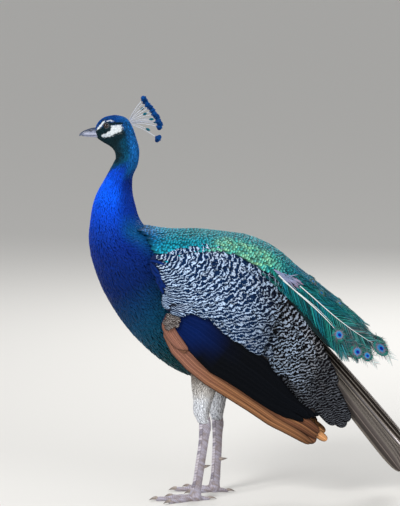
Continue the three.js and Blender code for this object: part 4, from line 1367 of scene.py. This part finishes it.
def makeSilk():  # two plumes with long silky barbs and bright bare shafts, and a third thin shaft
    stations = silk["stations"]
    path = plumePath([withHeight(silk["upper"], 6.5, 8.5), withHeight(silk["lower"], 6.0, 8.0)], stations)
    s = np.linspace(0, 1, stations)
    grown = np.minimum(1, 0.15 + 1.6 * s)
    upper = np.stack([13 * grown, 47 * grown * (1 - 0.1 * s)], -1)
    lower = np.stack([40 * grown * (1 - 0.45 * s), 24 * grown * (1 - 0.2 * s)], -1)
    barbs = barbVanes(path, np.stack([upper, lower]), silk["angles"], 521, silk["half"], 0.05)
    shade = streaks(2, stations, 0.8, 1.2, 522, 2)
    shade = shade * np.resize(silk["lightAndShade"], shade.shape)
    addTrainPart("trainSilk", paired(barbs), np.tile(shade, (2, 1)))
    bare = [withHeight(laterPart(silk["upper"], 0.17), 8.2, 10.0),
            withHeight(laterPart(silk["lower"], 0.18), 7.8, 9.6)]
    spec = dict(outline="hair", sink=0, lift=0, crown=1.4, yaw=0, roll=0)
    shafts = raiseVanes(plumePath(bare, stations), silk["shaftHalf"][:2], spec, 523)
    thin = plumePath([withHeight(silk["third"], 9.4, 10.2)], stations)
    shafts = together(shafts, raiseVanes(thin, silk["shaftHalf"][2], spec, 524))
    mesh = vaneMesh("trainShafts", paired(shafts), dye(silk["shaftColour"]))
    addPiece(mesh, downMaterial)


trainDown = dict(count=70, places=(5.15, 0.85), side=-0.33, height=7.0, lengths=(12, 22), half=2.2,
                 across=softRib, outline="hair", sink=2.0, lift=1.4, crown=0.5, yaw=14)


def makeTrainDown():  # lilac down at the root of the bare shafts
    rng = np.random.default_rng(541)
    count = trainDown["count"]
    t = rng.random(count)
    u = trainDown["places"][0] + trainDown["places"][1] * t
    w = trainDown["side"] + 0.1 * t * rng.random(count) + 0.02 * rng.random(count)
    surface = lambda u, w: ridgePoint(u, w, trainDown["height"])
    frames = lieOn(surface, u, w, rng.uniform(*trainDown["lengths"], count), 6, -1)
    vanes = raiseVanes(frames, trainDown["half"], trainDown, 542)
    colour = mixed(dye("#9a9cc4"), dye("#a07f9c"), smooth(0.5, 1, t))
    colour = mixed(colour, dyes["teal"], 0.35 * rng.random(count))
    uv = np.stack([t, (w + 0.4) * 4], -1)
    mesh = vaneMesh("trainDown", paired(vanes), np.tile(colour, (2, 1)), np.tile(uv, (2, 1)))
    addPiece(mesh, downMaterial)


# A plume's eye: mark holds its length, half width and scale
def makeEyeGroup():
    group, given, result = shaderGroup("plumeEye", {
        "Core": (0, 0, 0.1, 1), "Ring": (0, 0.2, 0.6, 1), "Halo": (0.4, 0.3, 0.3, 1),
        "Fringe": (0.1, 0.4, 0.2, 1)}, ("Colour",))
    runVector = attributeOf(group, "run")
    run = partsOf(group, runVector)
    length, half, scale = partsOf(group, attributeOf(group, "mark"))
    lengthwise = mathNode(group, "DIVIDE", minus(group, run[1], times(group, length, 0.5)), half)
    sideways = mathNode(group, "DIVIDE", run[0], half)

    def radiusFrom(shift, stretch):
        first = times(group, minus(group, lengthwise, shift), stretch)
        squares = [times(group, value, value) for value in (first, sideways)]
        return mathNode(group, "SQRT", plus(group, *squares))
    rough = times(group, minus(group, noiseNode(group, runVector, 0.4), 0.5), 0.6)
    outer = plus(group, radiusFrom(0.0, 1.0), rough)
    ring = mixColour(group, ramp(group, radiusFrom(0.08, 0.9), 0.17, 0.27), given["Core"], given["Ring"])
    bright = mixColour(group, ramp(group, scale, 0.5, 0.9), given["Fringe"], given["Halo"])
    halo = mixColour(group, ramp(group, outer, 0.36, 0.5), ring, bright)
    link(group, mixColour(group, ramp(group, outer, 0.52, 0.8), halo, given["Fringe"]), result["Colour"])
    return group


plumeEye = dict(half=15.5, narrow=0.9, height=2.2, rings=14, across=np.linspace(-1, 1, 9), outline="disc",
                sink=0, lift=0.0, crown=0.8, yaw=0, roll=2,
                colours={"Core": "#041a8c", "Ring": "#1c80b8", "Halo": "#7a7086", "Fringe": "#1b746e"})
fringe = dict(count=44, height=3.1, starts=(0.46, 0.66), lengths=(0.5, 0.95), forward=0.45, half=0.75,
              outline="hair", sink=0, lift=-1.4, crown=0.35, yaw=2, roll=4)


def eyePattern(tree):
    colours = {label: linearFour(value) for label, value in plumeEye["colours"].items()}
    return groupNode(tree, makeEyeGroup(), colours)["Colour"]


def makeTrainEyes(frames, scale):
    half = plumeEye["half"] * scale
    centre, along, crossing, normal = frames = [part[:, None] for part in frames]
    reach = half[:, None] * np.linspace(-1, 1, plumeEye["rings"])
    path = centre + along * reach[..., None] + normal * plumeEye["height"]
    vanes = raiseVanes(framed(path, along, crossing, normal), half * plumeEye["narrow"], plumeEye, 531)
    barbs = barbLook(1.0, 1.0, 0.08, edge=1.0, shaft=0.9, pitch=1.6)
    material = plumageMaterial("plumeEyes", gloss(0.4, 0.15, 0.2), barbs, eyePattern, 0.3)
    marks = np.tile(triples(2 * half, half, scale), (2, 1))
    addPiece(vaneMesh("trainEyes", paired(vanes), dyes["teal"], mark=marks), material)
    makeFringe(frames, half)


def makeFringe(frames, half):  # loose, round each eye
    centre, along, crossing, normal = frames
    rng = np.random.default_rng(532)
    turn = np.linspace(0, tau, fringe["count"], endpoint=False)
    turn = turn[None] + rng.uniform(-0.08, 0.08, (len(half), fringe["count"]))
    out = along * np.cos(turn)[..., None] + crossing * np.sin(turn)[..., None]
    start = centre + out * (half[:, None] * rng.uniform(*fringe["starts"], turn.shape))[..., None]
    start = start + normal * fringe["height"]
    reach = (half[:, None] * rng.uniform(*fringe["lengths"], turn.shape)).reshape(-1, 1)
    ways = (start, unit(out + along * fringe["forward"]), normal)
    start, way, up = (np.broadcast_to(part, out.shape).reshape(-1, 1, 3) for part in ways)
    path = start + way * (reach * np.linspace(0, 1, 4))[..., None]
    vanes = raiseVanes(framed(path, way, unit(np.cross(way, up)), up), fringe["half"], fringe, 533)
    colour = mixed(dye("#7f7484"), dye("#2c8a78"), smooth(0.25, 0.6, vanes["seeds"]))
    colour = mixed(colour, dye("#0d4a50"), smooth(0.7, 0.9, vanes["seeds"]))
    mesh = vaneMesh("trainFringe", paired(vanes), np.tile(colour, (2, 1)))
    addPiece(mesh, trainMaterial)


for makePart in (makeTrainLining, makePlumes, makeEyedPlumes, makeSilk, makeTrainDown):
    makePart()
print("train ready")

# Tail: long brown feathers that overlap like a roof, under the train
tail = dict(root=(150, 402), tip=(404, 120), feathers=22, rootSpread=24, tipSpread=62, drop=(36, 60),
            half=13.5, lean=62, shorter=20, arch=4, across=featherRib, outline="blade", sink=0, lift=0.4,
            crown=0.7, shaft=1.0, yaw=0.3, roll=1.5, stations=towardTip(18))
tailRoot = dict(middle=(172.0, 0.0, 344.0), size=(50, 33, 28), tilt=48, inset=0.94, grid=(24, 32),
                colour="#3a2f27")
tailCoverts = dict(step=8, length=26.0, half=4.5, colour="#54463b", outline="soft", sink=1.5, lift=2.0,
                   crown=0.6, yaw=10)
tailMaterial = plumageMaterial("tailFeathers", gloss(0.55, 0.2),
                               barbLook(0.85, 1.0, 0.15, edge=1.2, shaft=3.2))


def tailColour(t, across):
    number = np.arange(len(t))
    colour = mixed(dye("#29231f"), dye("#514a47"), smooth(-0.6, 0.9, np.sign(t)[:, None, None] * across))
    colour = colour * np.where(number % 2 == 0, 1.25, 0.8)[:, None, None, None]
    colour = mixed(colour, dye("#a39a90"), 0.8 * smooth(0.86, 0.98, np.abs(across)))
    paleShaft = (number % 3 == 1)[:, None, None] * (1 - smooth(0.02, 0.16, np.abs(across)))
    return mixed(colour, dye("#d6cfd0"), 0.85 * paleShaft)


def makeTail():
    t = np.linspace(-1, 1, tail["feathers"])
    out = np.abs(t)
    root = triples(tail["root"][0], tail["rootSpread"] * t, tail["root"][1] - tail["drop"][0] * out)
    tipX = tail["tip"][0] - tail["shorter"] * out
    tip = triples(tipX, tail["tipSpread"] * t, tail["tip"][1] - tail["drop"][1] * out)
    s = tail["stations"][None, :, None]
    point = root[:, None] + (tip - root)[:, None] * s
    along = unit(tip - root)
    lean = np.radians(tail["lean"] * t)
    crossing = unit(np.cross(along, triples(0, np.sin(lean), np.cos(lean))))
    normal = unit(np.cross(crossing, along))
    point = point + normal[:, None] * (tail["arch"] * (1 - out)[:, None, None] * np.sin(np.pi * s))
    frames = framed(point, along[:, None], crossing[:, None], normal[:, None])
    layer = -2.4 * out + 0.35 * (np.arange(len(t)) % 2)
    vanes = raiseVanes(frames, tail["half"], tail, 541, layer=layer)
    colour = tailColour(t, np.broadcast_to(vanes["t"], vanes["top"].shape[:3]))
    addPiece(vaneMesh("tailBlades", vanes, colour), tailMaterial, ("tail",))


def tailRootPoint(u, v, inset=1.0):
    u, v = np.broadcast_arrays(u, v)
    size, tilt = tailRoot["size"], math.radians(tailRoot["tilt"])
    x, y, z = -size[0] * np.cos(u), size[1] * np.sin(u) * np.sin(v), size[2] * np.sin(u) * np.cos(v)
    turned = (x * math.cos(tilt) + z * math.sin(tilt), y, z * math.cos(tilt) - x * math.sin(tilt))
    return np.array(tailRoot["middle"]) + inset * np.stack(turned, -1)


def makeTailRoot():  # soft brown coverts over the root of the tail
    bm = newForm()
    under = lambda u, v: tailRootPoint(u, v, tailRoot["inset"])
    tint = lambda u, v, points: dye(tailRoot["colour"])
    gridOver(bm, under, (0, math.pi), (0, tau), *tailRoot["grid"], tint)
    closeForm(bm)
    addPiece(meshOf(bm, "tailRoot"), skinMaterial)
    u, v = spread(tailRootPoint, (0.15, 2.9), (0, tau), tailCoverts["step"], tailCoverts["step"], 551)
    frames = lieOn(tailRootPoint, u, v, tailCoverts["length"], 4, -1)
    vanes = raiseVanes(frames, tailCoverts["half"], tailCoverts, 552)
    uv = np.stack([u / math.pi, v / tau], -1)
    addPiece(vaneMesh("tailCoverts", vanes, dye(tailCoverts["colour"]), uv), downMaterial)


makeTail()
makeTailRoot()
print("tail ready")

# Thighs: pale down over the upper legs
thighCoat = dict(places=(0.3, 6.0), step=3.4, gap=3.0, length=14, half=3.0, outline="hair", sink=1.8,
                 lift=0.6, crown=0.3, yaw=10, roll=4)


def makeThighCoats():
    for number, (side, rows) in enumerate(thighs.items()):
        surface = lambda u, v, rows=rows, y=sides[side] * hipY: limbPoint(rows, y, u, v)
        place, angle = spread(surface, thighCoat["places"], (0, tau), thighCoat["step"], thighCoat["gap"],
                              600 + number)
        size = varied(610 + number, 0.2, len(place)) * np.interp(place, [0, 3, 6], [1.3, 1.1, 0.75])
        frames = lieOn(surface, place, angle, thighCoat["length"] * size, coatStations, -1)
        vanes = raiseVanes(frames, thighCoat["half"] * size, thighCoat, 620 + number)
        uv = np.stack([place / 6, angle / tau], -1)
        mesh = vaneMesh(f"thighCoat_{side}", vanes, thighColour(place, angle, None), uv)
        addPiece(mesh, downMaterial)


makeThighCoats()

# Crest: bare pale shafts in a fan, each with a blue spoon of barbs at its tip
crest = dict(root=(-158, 754), shaft=0.6, spoon=12.5, spoonHalf=6.6, spread=8, sag=0.05,
             angles=(56, 50, 42, 34, 26, 18, 10, 3, -3, -8, -27, 44, 28, 9, 0, -17),
             lengths=(64, 61, 60, 60, 61, 62, 65, 67, 70, 69, 73, 44, 43, 52, 60, 46), outer=11,
             shaftColour="#c9cedb", blue="#0a4f9c", green="#0f7f92")
crestShaft = dict(outline="blade", sink=0, lift=0, crown=crest["shaft"], yaw=0, roll=0)
crestSpoon = dict(across=(-1, -0.6, 0, 0.6, 1), outline="spoon", sink=0, lift=0, crown=0.5, yaw=1, roll=8)


def crestFrames(fromPart, toPart, stations):
    angle = np.radians(np.array(crest["angles"], float))
    length = np.array(crest["lengths"], float)
    number = np.arange(len(angle))
    inner = number >= crest["outer"]
    sideways = crest["spread"] * np.sin(number * 2.4)
    spoonStart = 1 - np.where(inner, 0.7, 1.0) * crest["spoon"] / length
    start = spoonStart if fromPart is None else np.full(len(angle), fromPart)
    s = start[:, None] + (toPart - start)[:, None] * np.linspace(0, 1, stations)
    along = triples(np.cos(angle), 0, np.sin(angle))[:, None]
    over = triples(-np.sin(angle), 0, np.cos(angle))[:, None]
    sag = crest["sag"] * length[:, None] * np.sin(np.pi * np.maximum(s, 0))
    root = np.array((crest["root"][0], 0, crest["root"][1]))
    point = root + along * (s * length[:, None])[..., None] + over * sag[..., None]
    point = point + np.array((0, 1, 0)) * (sideways[:, None] * np.maximum(s, 0))[..., None]
    way = unit(np.gradient(point, axis=1))
    normal = unit(np.cross(np.broadcast_to(over, way.shape), way))
    return (point, way, np.cross(way, normal), normal), inner


def makeCrest():
    frames, inner = crestFrames(-0.1, 0.9, 10)
    shafts = raiseVanes(frames, crest["shaft"], crestShaft, 701)
    mesh = vaneMesh("crestShafts", shafts, dye(crest["shaftColour"]))
    addPiece(mesh, downMaterial)

    frames, inner = crestFrames(None, 1.0, 12)
    size = np.where(inner, 0.4, 1.0)
    size[crest["outer"] - 1] = 1.35
    vanes = raiseVanes(frames, size * crest["spoonHalf"], crestSpoon, 702)
    colour = mixed(dye(crest["blue"]), dye(crest["green"]), np.where(inner, 0.9, 0.0))
    addPiece(vaneMesh("crestSpoons", vanes, colour), neckMaterial, ("crest",))
    barbs = barbVanes(frames, np.linspace(3.6, 1.4, 12)[:, None], 34, 703, 0.45, 0.2)
    addPiece(vaneMesh("crestBarbs", barbs, colour * 0.9), neckMaterial)


makeCrest()

# Eyes: a wet ball with a brown iris, set in bare lids. The lids' rings: how wide, and how high over the ball
eyeLook = dict(pupil=0.30, pupilSoft=0.06, iris=0.62, irisSoft=0.08, black=(0.002, 0.002, 0.003, 1),
               brown="#21130c", white="#120c0a", forward=12, up=4, cornea=0.045, corneaWidth=0.45)
lids = dict(wide=6.0, tall=5.2, rings=[0, 0.25, 0.5, 0.75, 1], widths=[0.92, 1.0, 1.14, 1.32, 1.5],
            heights=[-0.7, 0.35, 0.75, 0.3, -1.6], flat=5.2, thickness=0.25, grid=(10, 48),
            outer="#2c333d", inner="#77808c")


def eyeAxes(sign):
    turn, up = math.radians(eyeLook["forward"]), math.radians(eyeLook["up"])
    gaze = Vector((-math.sin(turn), sign * math.cos(turn), math.sin(up))).normalized()
    side = Vector((0, 0, 1)).cross(gaze).normalized()
    return Vector((eyes["x"], sign * eyes["y"], eyes["z"])), gaze, side, gaze.cross(side)


def makeWetMaterial():
    looks = {**gloss(0.12, 0.25), "Coat Weight": 0.5, "Coat Roughness": 0.02}
    material, tree, shader = newMaterial("wetEye", looks)
    gaze = attributeOf(tree, "gaze", "Fac")
    pupil = ramp(tree, gaze, eyeLook["pupil"], eyeLook["pupil"] + eyeLook["pupilSoft"])
    iris = mixColour(tree, pupil, eyeLook["black"], linearFour(eyeLook["brown"]))
    white = ramp(tree, gaze, eyeLook["iris"], eyeLook["iris"] + eyeLook["irisSoft"])
    ball = mixColour(tree, white, iris, linearFour(eyeLook["white"]))
    link(tree, ball, shader.inputs["Base Color"])
    return material


def makeBall(side, middle, gaze, aside, above):
    bm = newForm()
    bmesh.ops.create_uvsphere(bm, u_segments=48, v_segments=32, radius=1)
    axes = Matrix((aside, above, gaze)).transposed()
    angles = []
    for vertex in bm.verts:
        angle = math.acos(max(-1, min(1, vertex.co.z)))
        angles.append(angle)
        swell = 1 + eyeLook["cornea"] * math.exp(-(angle / eyeLook["corneaWidth"]) ** 2)
        vertex.co = Vector(toFrame(middle + axes @ (vertex.co * swell * eyes["radius"])))
    mesh = meshOf(bm, f"eyeball_{side}")
    attribute = mesh.attributes.new("gaze", "FLOAT", "POINT")
    attribute.data.foreach_set("value", np.array(angles, np.float32))
    return mesh


def makeLids(side, middle, gaze, aside, above):  # a soft rim that dives under the feathers
    def lid(u, v):
        wide = np.interp(u, lids["rings"], lids["widths"])
        x = wide * lids["wide"] * np.cos(v)
        z = wide * lids["tall"] * np.sin(v) * (1 - 0.12 * np.cos(v))
        ball = np.sqrt(np.maximum(eyes["radius"] ** 2 - x ** 2 - z ** 2, 1.0))
        out = np.where(u > 0.3, np.minimum(ball, lids["flat"]), ball)
        out = out + np.interp(u, lids["rings"], lids["heights"])
        ways = zip((x, z, out), (aside, above, gaze))
        return np.array(middle) + sum(amount[:, None] * np.array(way) for amount, way in ways)
    bm = newForm()
    gridOver(bm, lid, (0, 1), (0, tau), *lids["grid"],
             lambda u, v, points: mixed(dye(lids["outer"]), dye(lids["inner"]), smooth(0.5, 0.2, u)))
    bmesh.ops.remove_doubles(bm, verts=bm.verts, dist=1e-6)
    bmesh.ops.recalc_face_normals(bm, faces=bm.faces)
    bmesh.ops.solidify(bm, geom=bm.faces, thickness=lids["thickness"] * mm)
    bmesh.ops.recalc_face_normals(bm, faces=bm.faces)
    return meshOf(bm, f"lids_{side}")


def makeEyes():
    wet = makeWetMaterial()
    for side, sign in sides.items():
        axes = eyeAxes(sign)
        addPiece(makeBall(side, *axes), wet, (f"eye_{side}",))
        addPiece(makeLids(side, *axes), skinMaterial)


makeEyes()

# Bill: x, top, bottom, half width from the root to the tip
upperBill = np.array([
    (-219, 746, 731, 8), (-222.8, 745.5, 731, 7.6), (-229, 744.6, 730.4, 7), (-236, 742.6, 730.2, 5.8),
    (-243, 739.8, 730.4, 4.5), (-249, 736.6, 730.5, 3), (-253, 733, 729, 1.6), (-254.4, 730.2, 728.4, 0.7),
], float)
lowerBill = np.array([
    (-217, 730.6, 725, 7.4), (-221.6, 730.4, 725.6, 7), (-229, 729.9, 726.4, 6), (-238, 729.7, 727, 4.4),
    (-246, 729.9, 728, 2.6), (-249.5, 730, 728.9, 1.2),
], float)
nostril = dict(x=-231.5, z=739.6, long=4.2, tall=1.5, deep=1.3, rim=0.5)
# Share of a ring that arches over; the hollow inside, the ridge on top and the ring's grid
billForm = dict(arched=0.7, hollow=0.5, ridge=0.35, grid=(70, 60))


def nostrilMask(points):
    x = points[:, 0] - nostril["x"]
    z = points[:, 2] - nostril["z"] + 0.25 * x
    return 1 - smooth(0.5, 1.25, np.hypot(x / nostril["long"], z / nostril["tall"]))


def billPoint(rows, arched, u, w):
    x, top, bottom, half = np.moveaxis(tableAt(rows, u), -1, 0)
    share = billForm["arched"]
    arch = np.pi * np.clip(w / share, 0, 1)
    under = np.clip((w - share) / (1 - share), 0, 1)
    height = np.sin(arch) ** 0.8 * (top - bottom)
    y = np.where(w < share, half * np.cos(arch), half * (2 * under - 1))
    hollow = billForm["hollow"] * np.sin(np.pi * under)
    if not arched:
        return np.stack([x, y, top - height - hollow], -1)
    points = np.stack([x, y, bottom + height + hollow], -1)
    points[:, 2] += billForm["ridge"] * smooth(0.5, 0.98, np.sin(arch)) * (w < share)
    onSide = np.abs(y) > 2
    pit = nostrilMask(points) * onSide
    points[:, 1] -= np.sign(y) * nostril["deep"] * pit
    points[:, 2] += nostril["rim"] * smooth(0.2, 0.0, np.abs(pit - 0.4)) * onSide
    return points


def billColour(u, w, points):
    x, z = points[:, 0], points[:, 2]
    slopeLine = 738.5 - 0.28 * np.maximum(-226 - x, 0)
    colour = mixed(dye("#6f7890"), dye("#39435a"), smooth(-1, 3.5, z - slopeLine))
    gape = np.exp(-((z - 733.5) / 2.0) ** 2) * smooth(-249, -240, x)
    colour = mixed(colour, dye("#b9bdd0"), 0.85 * gape)
    colour = mixed(colour, dye("#a4a7bc"), 0.7 * smooth(731, 728, z) * smooth(-250, -240, x))
    colour = mixed(colour, dye("#4b5468"), 0.8 * smooth(-244, -253, x))
    # the nostril is painted near-black: painted shade inside the opening
    return mixed(colour, dye("#171b26"), 0.9 * nostrilMask(points))


def makeBill():
    looks = {**gloss(0.42, 0.3), "Coat Weight": 0.08}
    material = grainedMaterial("billHorn", looks, (1.0, 3), (0.3, 0.75),
                               ((0.7, 0.7, 0.72, 1), (1.1, 1.1, 1.1, 1)), (0.25, 0.0002), (60, 700, 700))
    for name, rows, arched in (("upper", upperBill, True), ("lower", lowerBill, False)):
        bm = newForm()
        surface = lambda u, w, rows=rows, arched=arched: billPoint(rows, arched, u, w)
        gridOver(bm, surface, (0, len(rows) - 1), (0, 1), *billForm["grid"], billColour)
        closeForm(bm, 1e-6)
        addPiece(meshOf(bm, f"{name}Mandible"), material, (f"bill_{name}",))


makeBill()
print("head ready")

# Shanks and feet: one skin a leg, with scutes down the front and over the toes
shanks = dict(
    left=dict(toe=184, rows=[
        (-4, 158, 11.5, 9), (-4, 146, 12, 9.2), (-6, 128, 10.2, 7.6), (-9, 104, 9.6, 7), (-13, 78, 9.6, 7),
        (-17, 50, 9.4, 7.4), (-20, 32, 9.8, 8.4), (-22, 22, 10.4, 9)]),
    right=dict(toe=178, rows=[
        (21.5, 150, 11.5, 9), (22, 138, 12, 9.2), (21.5, 120, 10.2, 7.6), (21, 98, 9.6, 7), (20, 74, 9.6, 7),
        (18.5, 50, 9.4, 7.4), (17.5, 32, 9.8, 8.4), (16, 22, 10.4, 9)]),
)
# Toes: turn from the leg's heading in degrees, length, radius
toes = dict(inner=(-30, 50, 5.6), middle=(0, 74, 6.2), outer=(30, 58, 5.6), hind=(188, 26, 4.6))
claw = dict(length=15, inset=2.5, overlap=2.2, grid=(16, 20))
spur = dict(z=68, length=15, radius=4.2, lean=0.35, aside=2.6, inset=2.4, curve=2.2, grid=(16, 24))
legForm = dict(shankGrid=(110, 40), toeGrid=(50, 28), voxel=0.85, smoothings=3, sole=0.6, ground=0.45)
scutes = dict(pitch=5.6, groove=0.42, toePitch=4.2, toeGroove=0.36, grain=3.38, grainGroove=0.4, pad=2.2,
              padGroove=0.3, seam=1.1, dome=0.18, depth=0.42)
hornDyes = dict(root=dye("#a89c94"), tip=dye("#6b6260"))


def acrossOf(aim):
    return np.array((-aim[1], aim[0], 0))


def toePoint(start, aim, length, radius, s, angle):
    r = radius * (1.12 - 0.42 * s) * (1 + 0.1 * np.cos(s * 4 * np.pi))
    r = r * np.sqrt(np.clip((1.03 - s) / 0.1, 0.02, 1))
    point = start + aim * (s * length)[:, None] + acrossOf(aim) * (r * np.cos(angle))[:, None]
    point[:, 2] = np.maximum(0, 0.82 * radius * (1.12 - 0.42 * s) + r * np.sin(angle))
    return point


def legPlan(side):
    leg = shanks[side]
    ankle, top = leg["rows"][-1], leg["rows"][0]
    y = sides[side] * hipY
    plan = []
    for turn, length, radius in toes.values():
        heading = math.radians(leg["toe"] - sides[side] * turn)
        aim = np.array((math.cos(heading), math.sin(heading), 0))
        plan.append((np.array((ankle[0] - 2, y, 0)) + 4 * aim, aim, length, radius))
    block = [(ankle[0] - 1, 14, ankle[2] + 1, ankle[3] + 1.5),
             (ankle[0] - 2, 7, ankle[2] + 2.5, ankle[3] + 3.5),
             (ankle[0] - 2, 0.2, ankle[2] + 1, ankle[3] + 2)]
    hidden = (top[0], top[1] + 12, top[2] - 2, top[3] - 1.5)
    return y, np.array([hidden] + leg["rows"] + block, float), plan


def grooves(distance, pitch, width):
    off = np.abs((distance / pitch) % 1 - 0.5) * pitch
    return np.exp(-((pitch / 2 - off) / width) ** 2)


def shankAt(rows, z, column):
    order = np.argsort(rows[:, 1])
    return np.interp(z, rows[order, 1], rows[order, column])


def plainLeg(side, y, rows, plan):  # shank and toes in one smooth skin
    bm = newForm()
    plain = lambda u, v, points: (0, 0, 0)
    shank = lambda u, v: limbPoint(rows, y, u, v)
    gridOver(bm, shank, (0, len(rows) - 1), (0, tau), *legForm["shankGrid"], plain)
    for toe in plan:
        toeForm = lambda u, v, toe=toe: toePoint(*toe, u, v)
        gridOver(bm, toeForm, (0, 1.02), (0, tau), *legForm["toeGrid"], plain)
    closeForm(bm)
    form = bpy.data.objects.new("legForm", meshOf(bm, "legForm"))
    bpy.context.scene.collection.objects.link(form)
    remesh = form.modifiers.new("oneSkin", "REMESH")
    remesh.mode = "VOXEL"
    remesh.voxel_size = legForm["voxel"] * mm
    whole = bpy.data.meshes.new_from_object(form.evaluated_get(bpy.context.evaluated_depsgraph_get()))
    bpy.data.objects.remove(form)
    bm = bmesh.new()
    bm.from_mesh(whole)
    for _ in range(legForm["smoothings"]):
        bmesh.ops.smooth_vert(bm, verts=bm.verts, factor=0.5, use_axis_x=True, use_axis_y=True,
                              use_axis_z=True)
    bm.to_mesh(whole)
    bm.free()
    whole.name = f"leg_{side}"
    return whole


def shankCuts(places, around, front):  # broad plates down the front, small scales elsewhere
    plate = grooves(places[:, 2] + 1.2 * np.cos(around * 2), scutes["pitch"], scutes["groove"])
    small = np.maximum(grooves(places[:, 2] + around * 4, scutes["grain"], scutes["grainGroove"]),
                       grooves(around * 9 - places[:, 2] * 0.6, scutes["grain"], scutes["grainGroove"]))
    seam = np.exp(-((np.abs(around) - scutes["seam"]) * 9 / 0.6) ** 2)
    return np.maximum(front * plate + (1 - front) * 0.8 * small, seam)


def footCuts(places, normals, plan):  # plates over the toes, fine pads under them
    nearest, toeAlong = np.full(len(places), 1e9), np.zeros(len(places))
    for start, aim, length, _radius in plan:
        away = places - start
        distance = away @ aim
        off = np.linalg.norm(away[:, :2] - distance[:, None] * aim[:2], axis=1)
        off = off + np.maximum(0, -distance) + np.maximum(0, distance - length)
        toeAlong = np.where(off < nearest, distance, toeAlong)
        nearest = np.minimum(nearest, off)
    above = smooth(1.5, 4.5, places[:, 2]) * smooth(-0.1, 0.45, normals[:, 2])
    toeCut = above * grooves(toeAlong + nearest * 0.2, scutes["toePitch"], scutes["toeGroove"])
    pads = np.maximum(*(grooves(places[:, axis], scutes["pad"], scutes["padGroove"]) for axis in (0, 1)))
    return np.maximum(toeCut, (1 - above) * 0.5 * pads * (places[:, 2] > 0.8))


def legColour(places, around, shield, cut):
    shade = patchNoise(places[:, 0] + places[:, 2], places[:, 1] + places[:, 2], 5)
    blotch = smooth(0.5, 0.75, patchNoise(places[:, 2] * 1.6, around * 5, 9))
    colour = mixed(dye("#b4b0c2"), dye("#94888a"), shade)
    colour = mixed(colour, dye("#d0cad4"), 0.6 * shield)
    colour = mixed(colour, dye("#5a5468"), 0.65 * shield * blotch)
    return mixed(colour, dye("#453d44"), 0.85 * cut)


def makeLeg(side, y, rows, plan):
    whole = plainLeg(side, y, rows, plan)
    places, normals = np.empty((2, len(whole.vertices) * 3))
    whole.vertices.foreach_get("co", places)
    whole.vertices.foreach_get("normal", normals)
    places, normals = places.reshape(-1, 3) / mm - (shiftX, 0, 0), normals.reshape(-1, 3)
    onShank = smooth(16, 26, places[:, 2])
    around = np.arctan2(places[:, 1] - y, shankAt(rows, places[:, 2], 0) - places[:, 0])
    front = smooth(1.25, 0.95, np.abs(around))
    cut = onShank * shankCuts(places, around, front) + (1 - onShank) * footCuts(places, normals, plan)
    raised = scutes["dome"] * (1 - cut) - scutes["depth"] * cut
    places = places + normals * raised[:, None] * (places[:, 2] > legForm["sole"])[:, None]
    places[:, 2] = np.where(places[:, 2] < legForm["ground"], 0.0, places[:, 2])
    whole.vertices.foreach_set("co", toFrame(places).ravel())
    for attribute in list(whole.attributes):
        if attribute.name in ("tint", "OFBake"):
            whole.attributes.remove(attribute)
    putColour(whole, "tint", legColour(places, around, front * onShank, cut))
    whole.polygons.foreach_set("use_smooth", np.ones(len(whole.polygons), bool))
    whole.update()
    whole.materials.clear()
    addPiece(whole, legMaterial, (f"tarsus_{side}", f"foot_{side}"))


def clawPoint(start, aim, length, radius, u, v):
    r = radius * 0.66 * (1 - u ** 1.6 * 0.97)
    root = start + aim * (length - claw["inset"])
    point = root + aim * (u * (claw["length"] + claw["overlap"]))[:, None]
    point[:, 2] = radius * 0.8 * (1 - u ** 2 * 0.8) + 0.5 + 1.1 * np.sin(np.pi * u)
    point = point + acrossOf(aim) * (0.8 * r * np.cos(v))[:, None]
    point[:, 2] = np.maximum(0.05, point[:, 2] + r * np.sin(v))
    return point


def spurPoint(side, y, rows, u, v):
    r = spur["radius"] * (1 - u ** 1.3 * 0.96)
    lean = -sides[side] * spur["lean"]
    reach = np.array((math.cos(lean), math.sin(lean), 0))
    x = shankAt(rows, spur["z"], 0) + shankAt(rows, spur["z"], 2) - spur["inset"]
    root = np.array((x, y - sides[side] * spur["aside"], spur["z"]))
    point = root + reach * (u * (spur["length"] + 1))[:, None] + acrossOf(reach) * (r * np.cos(v))[:, None]
    point[:, 2] += spur["curve"] * u ** 2 + r * np.sin(v)
    return point


def makeClaws(side, y, rows, plan):
    bm = newForm()
    horn = lambda u, v, points: mixed(hornDyes["root"], hornDyes["tip"], u)
    for toe in plan:
        gridOver(bm, lambda u, v, toe=toe: clawPoint(*toe, u, v), (0, 1), (0, tau), *claw["grid"], horn)
    gridOver(bm, lambda u, v: spurPoint(side, y, rows, u, v), (0, 1), (0, tau), *spur["grid"], horn)
    closeForm(bm, 1e-6)
    nodes = [f"claw_{side}_{name}" for name in toes] + [f"spur_{side}"]
    addPiece(meshOf(bm, f"claws_{side}"), hornMaterial, nodes)


def makeLegMaterial():
    material, tree, shader = newMaterial("scaledSkin", gloss(0.5, 0.4))
    place = objectPlace(tree)
    dust = ramp(tree, noiseNode(tree, place, 260, 4), 0.45, 0.8, 0.0, 0.55)
    colour = mixColour(tree, dust, attributeOf(tree, "tint", "Color"), linearFour("#8a7a6c"))
    dress(tree, shader, colour, noiseNode(tree, place, 1500, 3), 0.3, 0.0002)
    return material


legMaterial = makeLegMaterial()
hornMaterial = grainedMaterial("clawHorn", gloss(0.35, 0.5), (420, 3), (0.3, 0.8),
                               ((0.75, 0.75, 0.75, 1), (1.15, 1.1, 1.05, 1)), (0.2, 0.0002))
for side in sides:
    shape = legPlan(side)
    makeLeg(side, *shape)
    makeClaws(side, *shape)
print("legs ready")
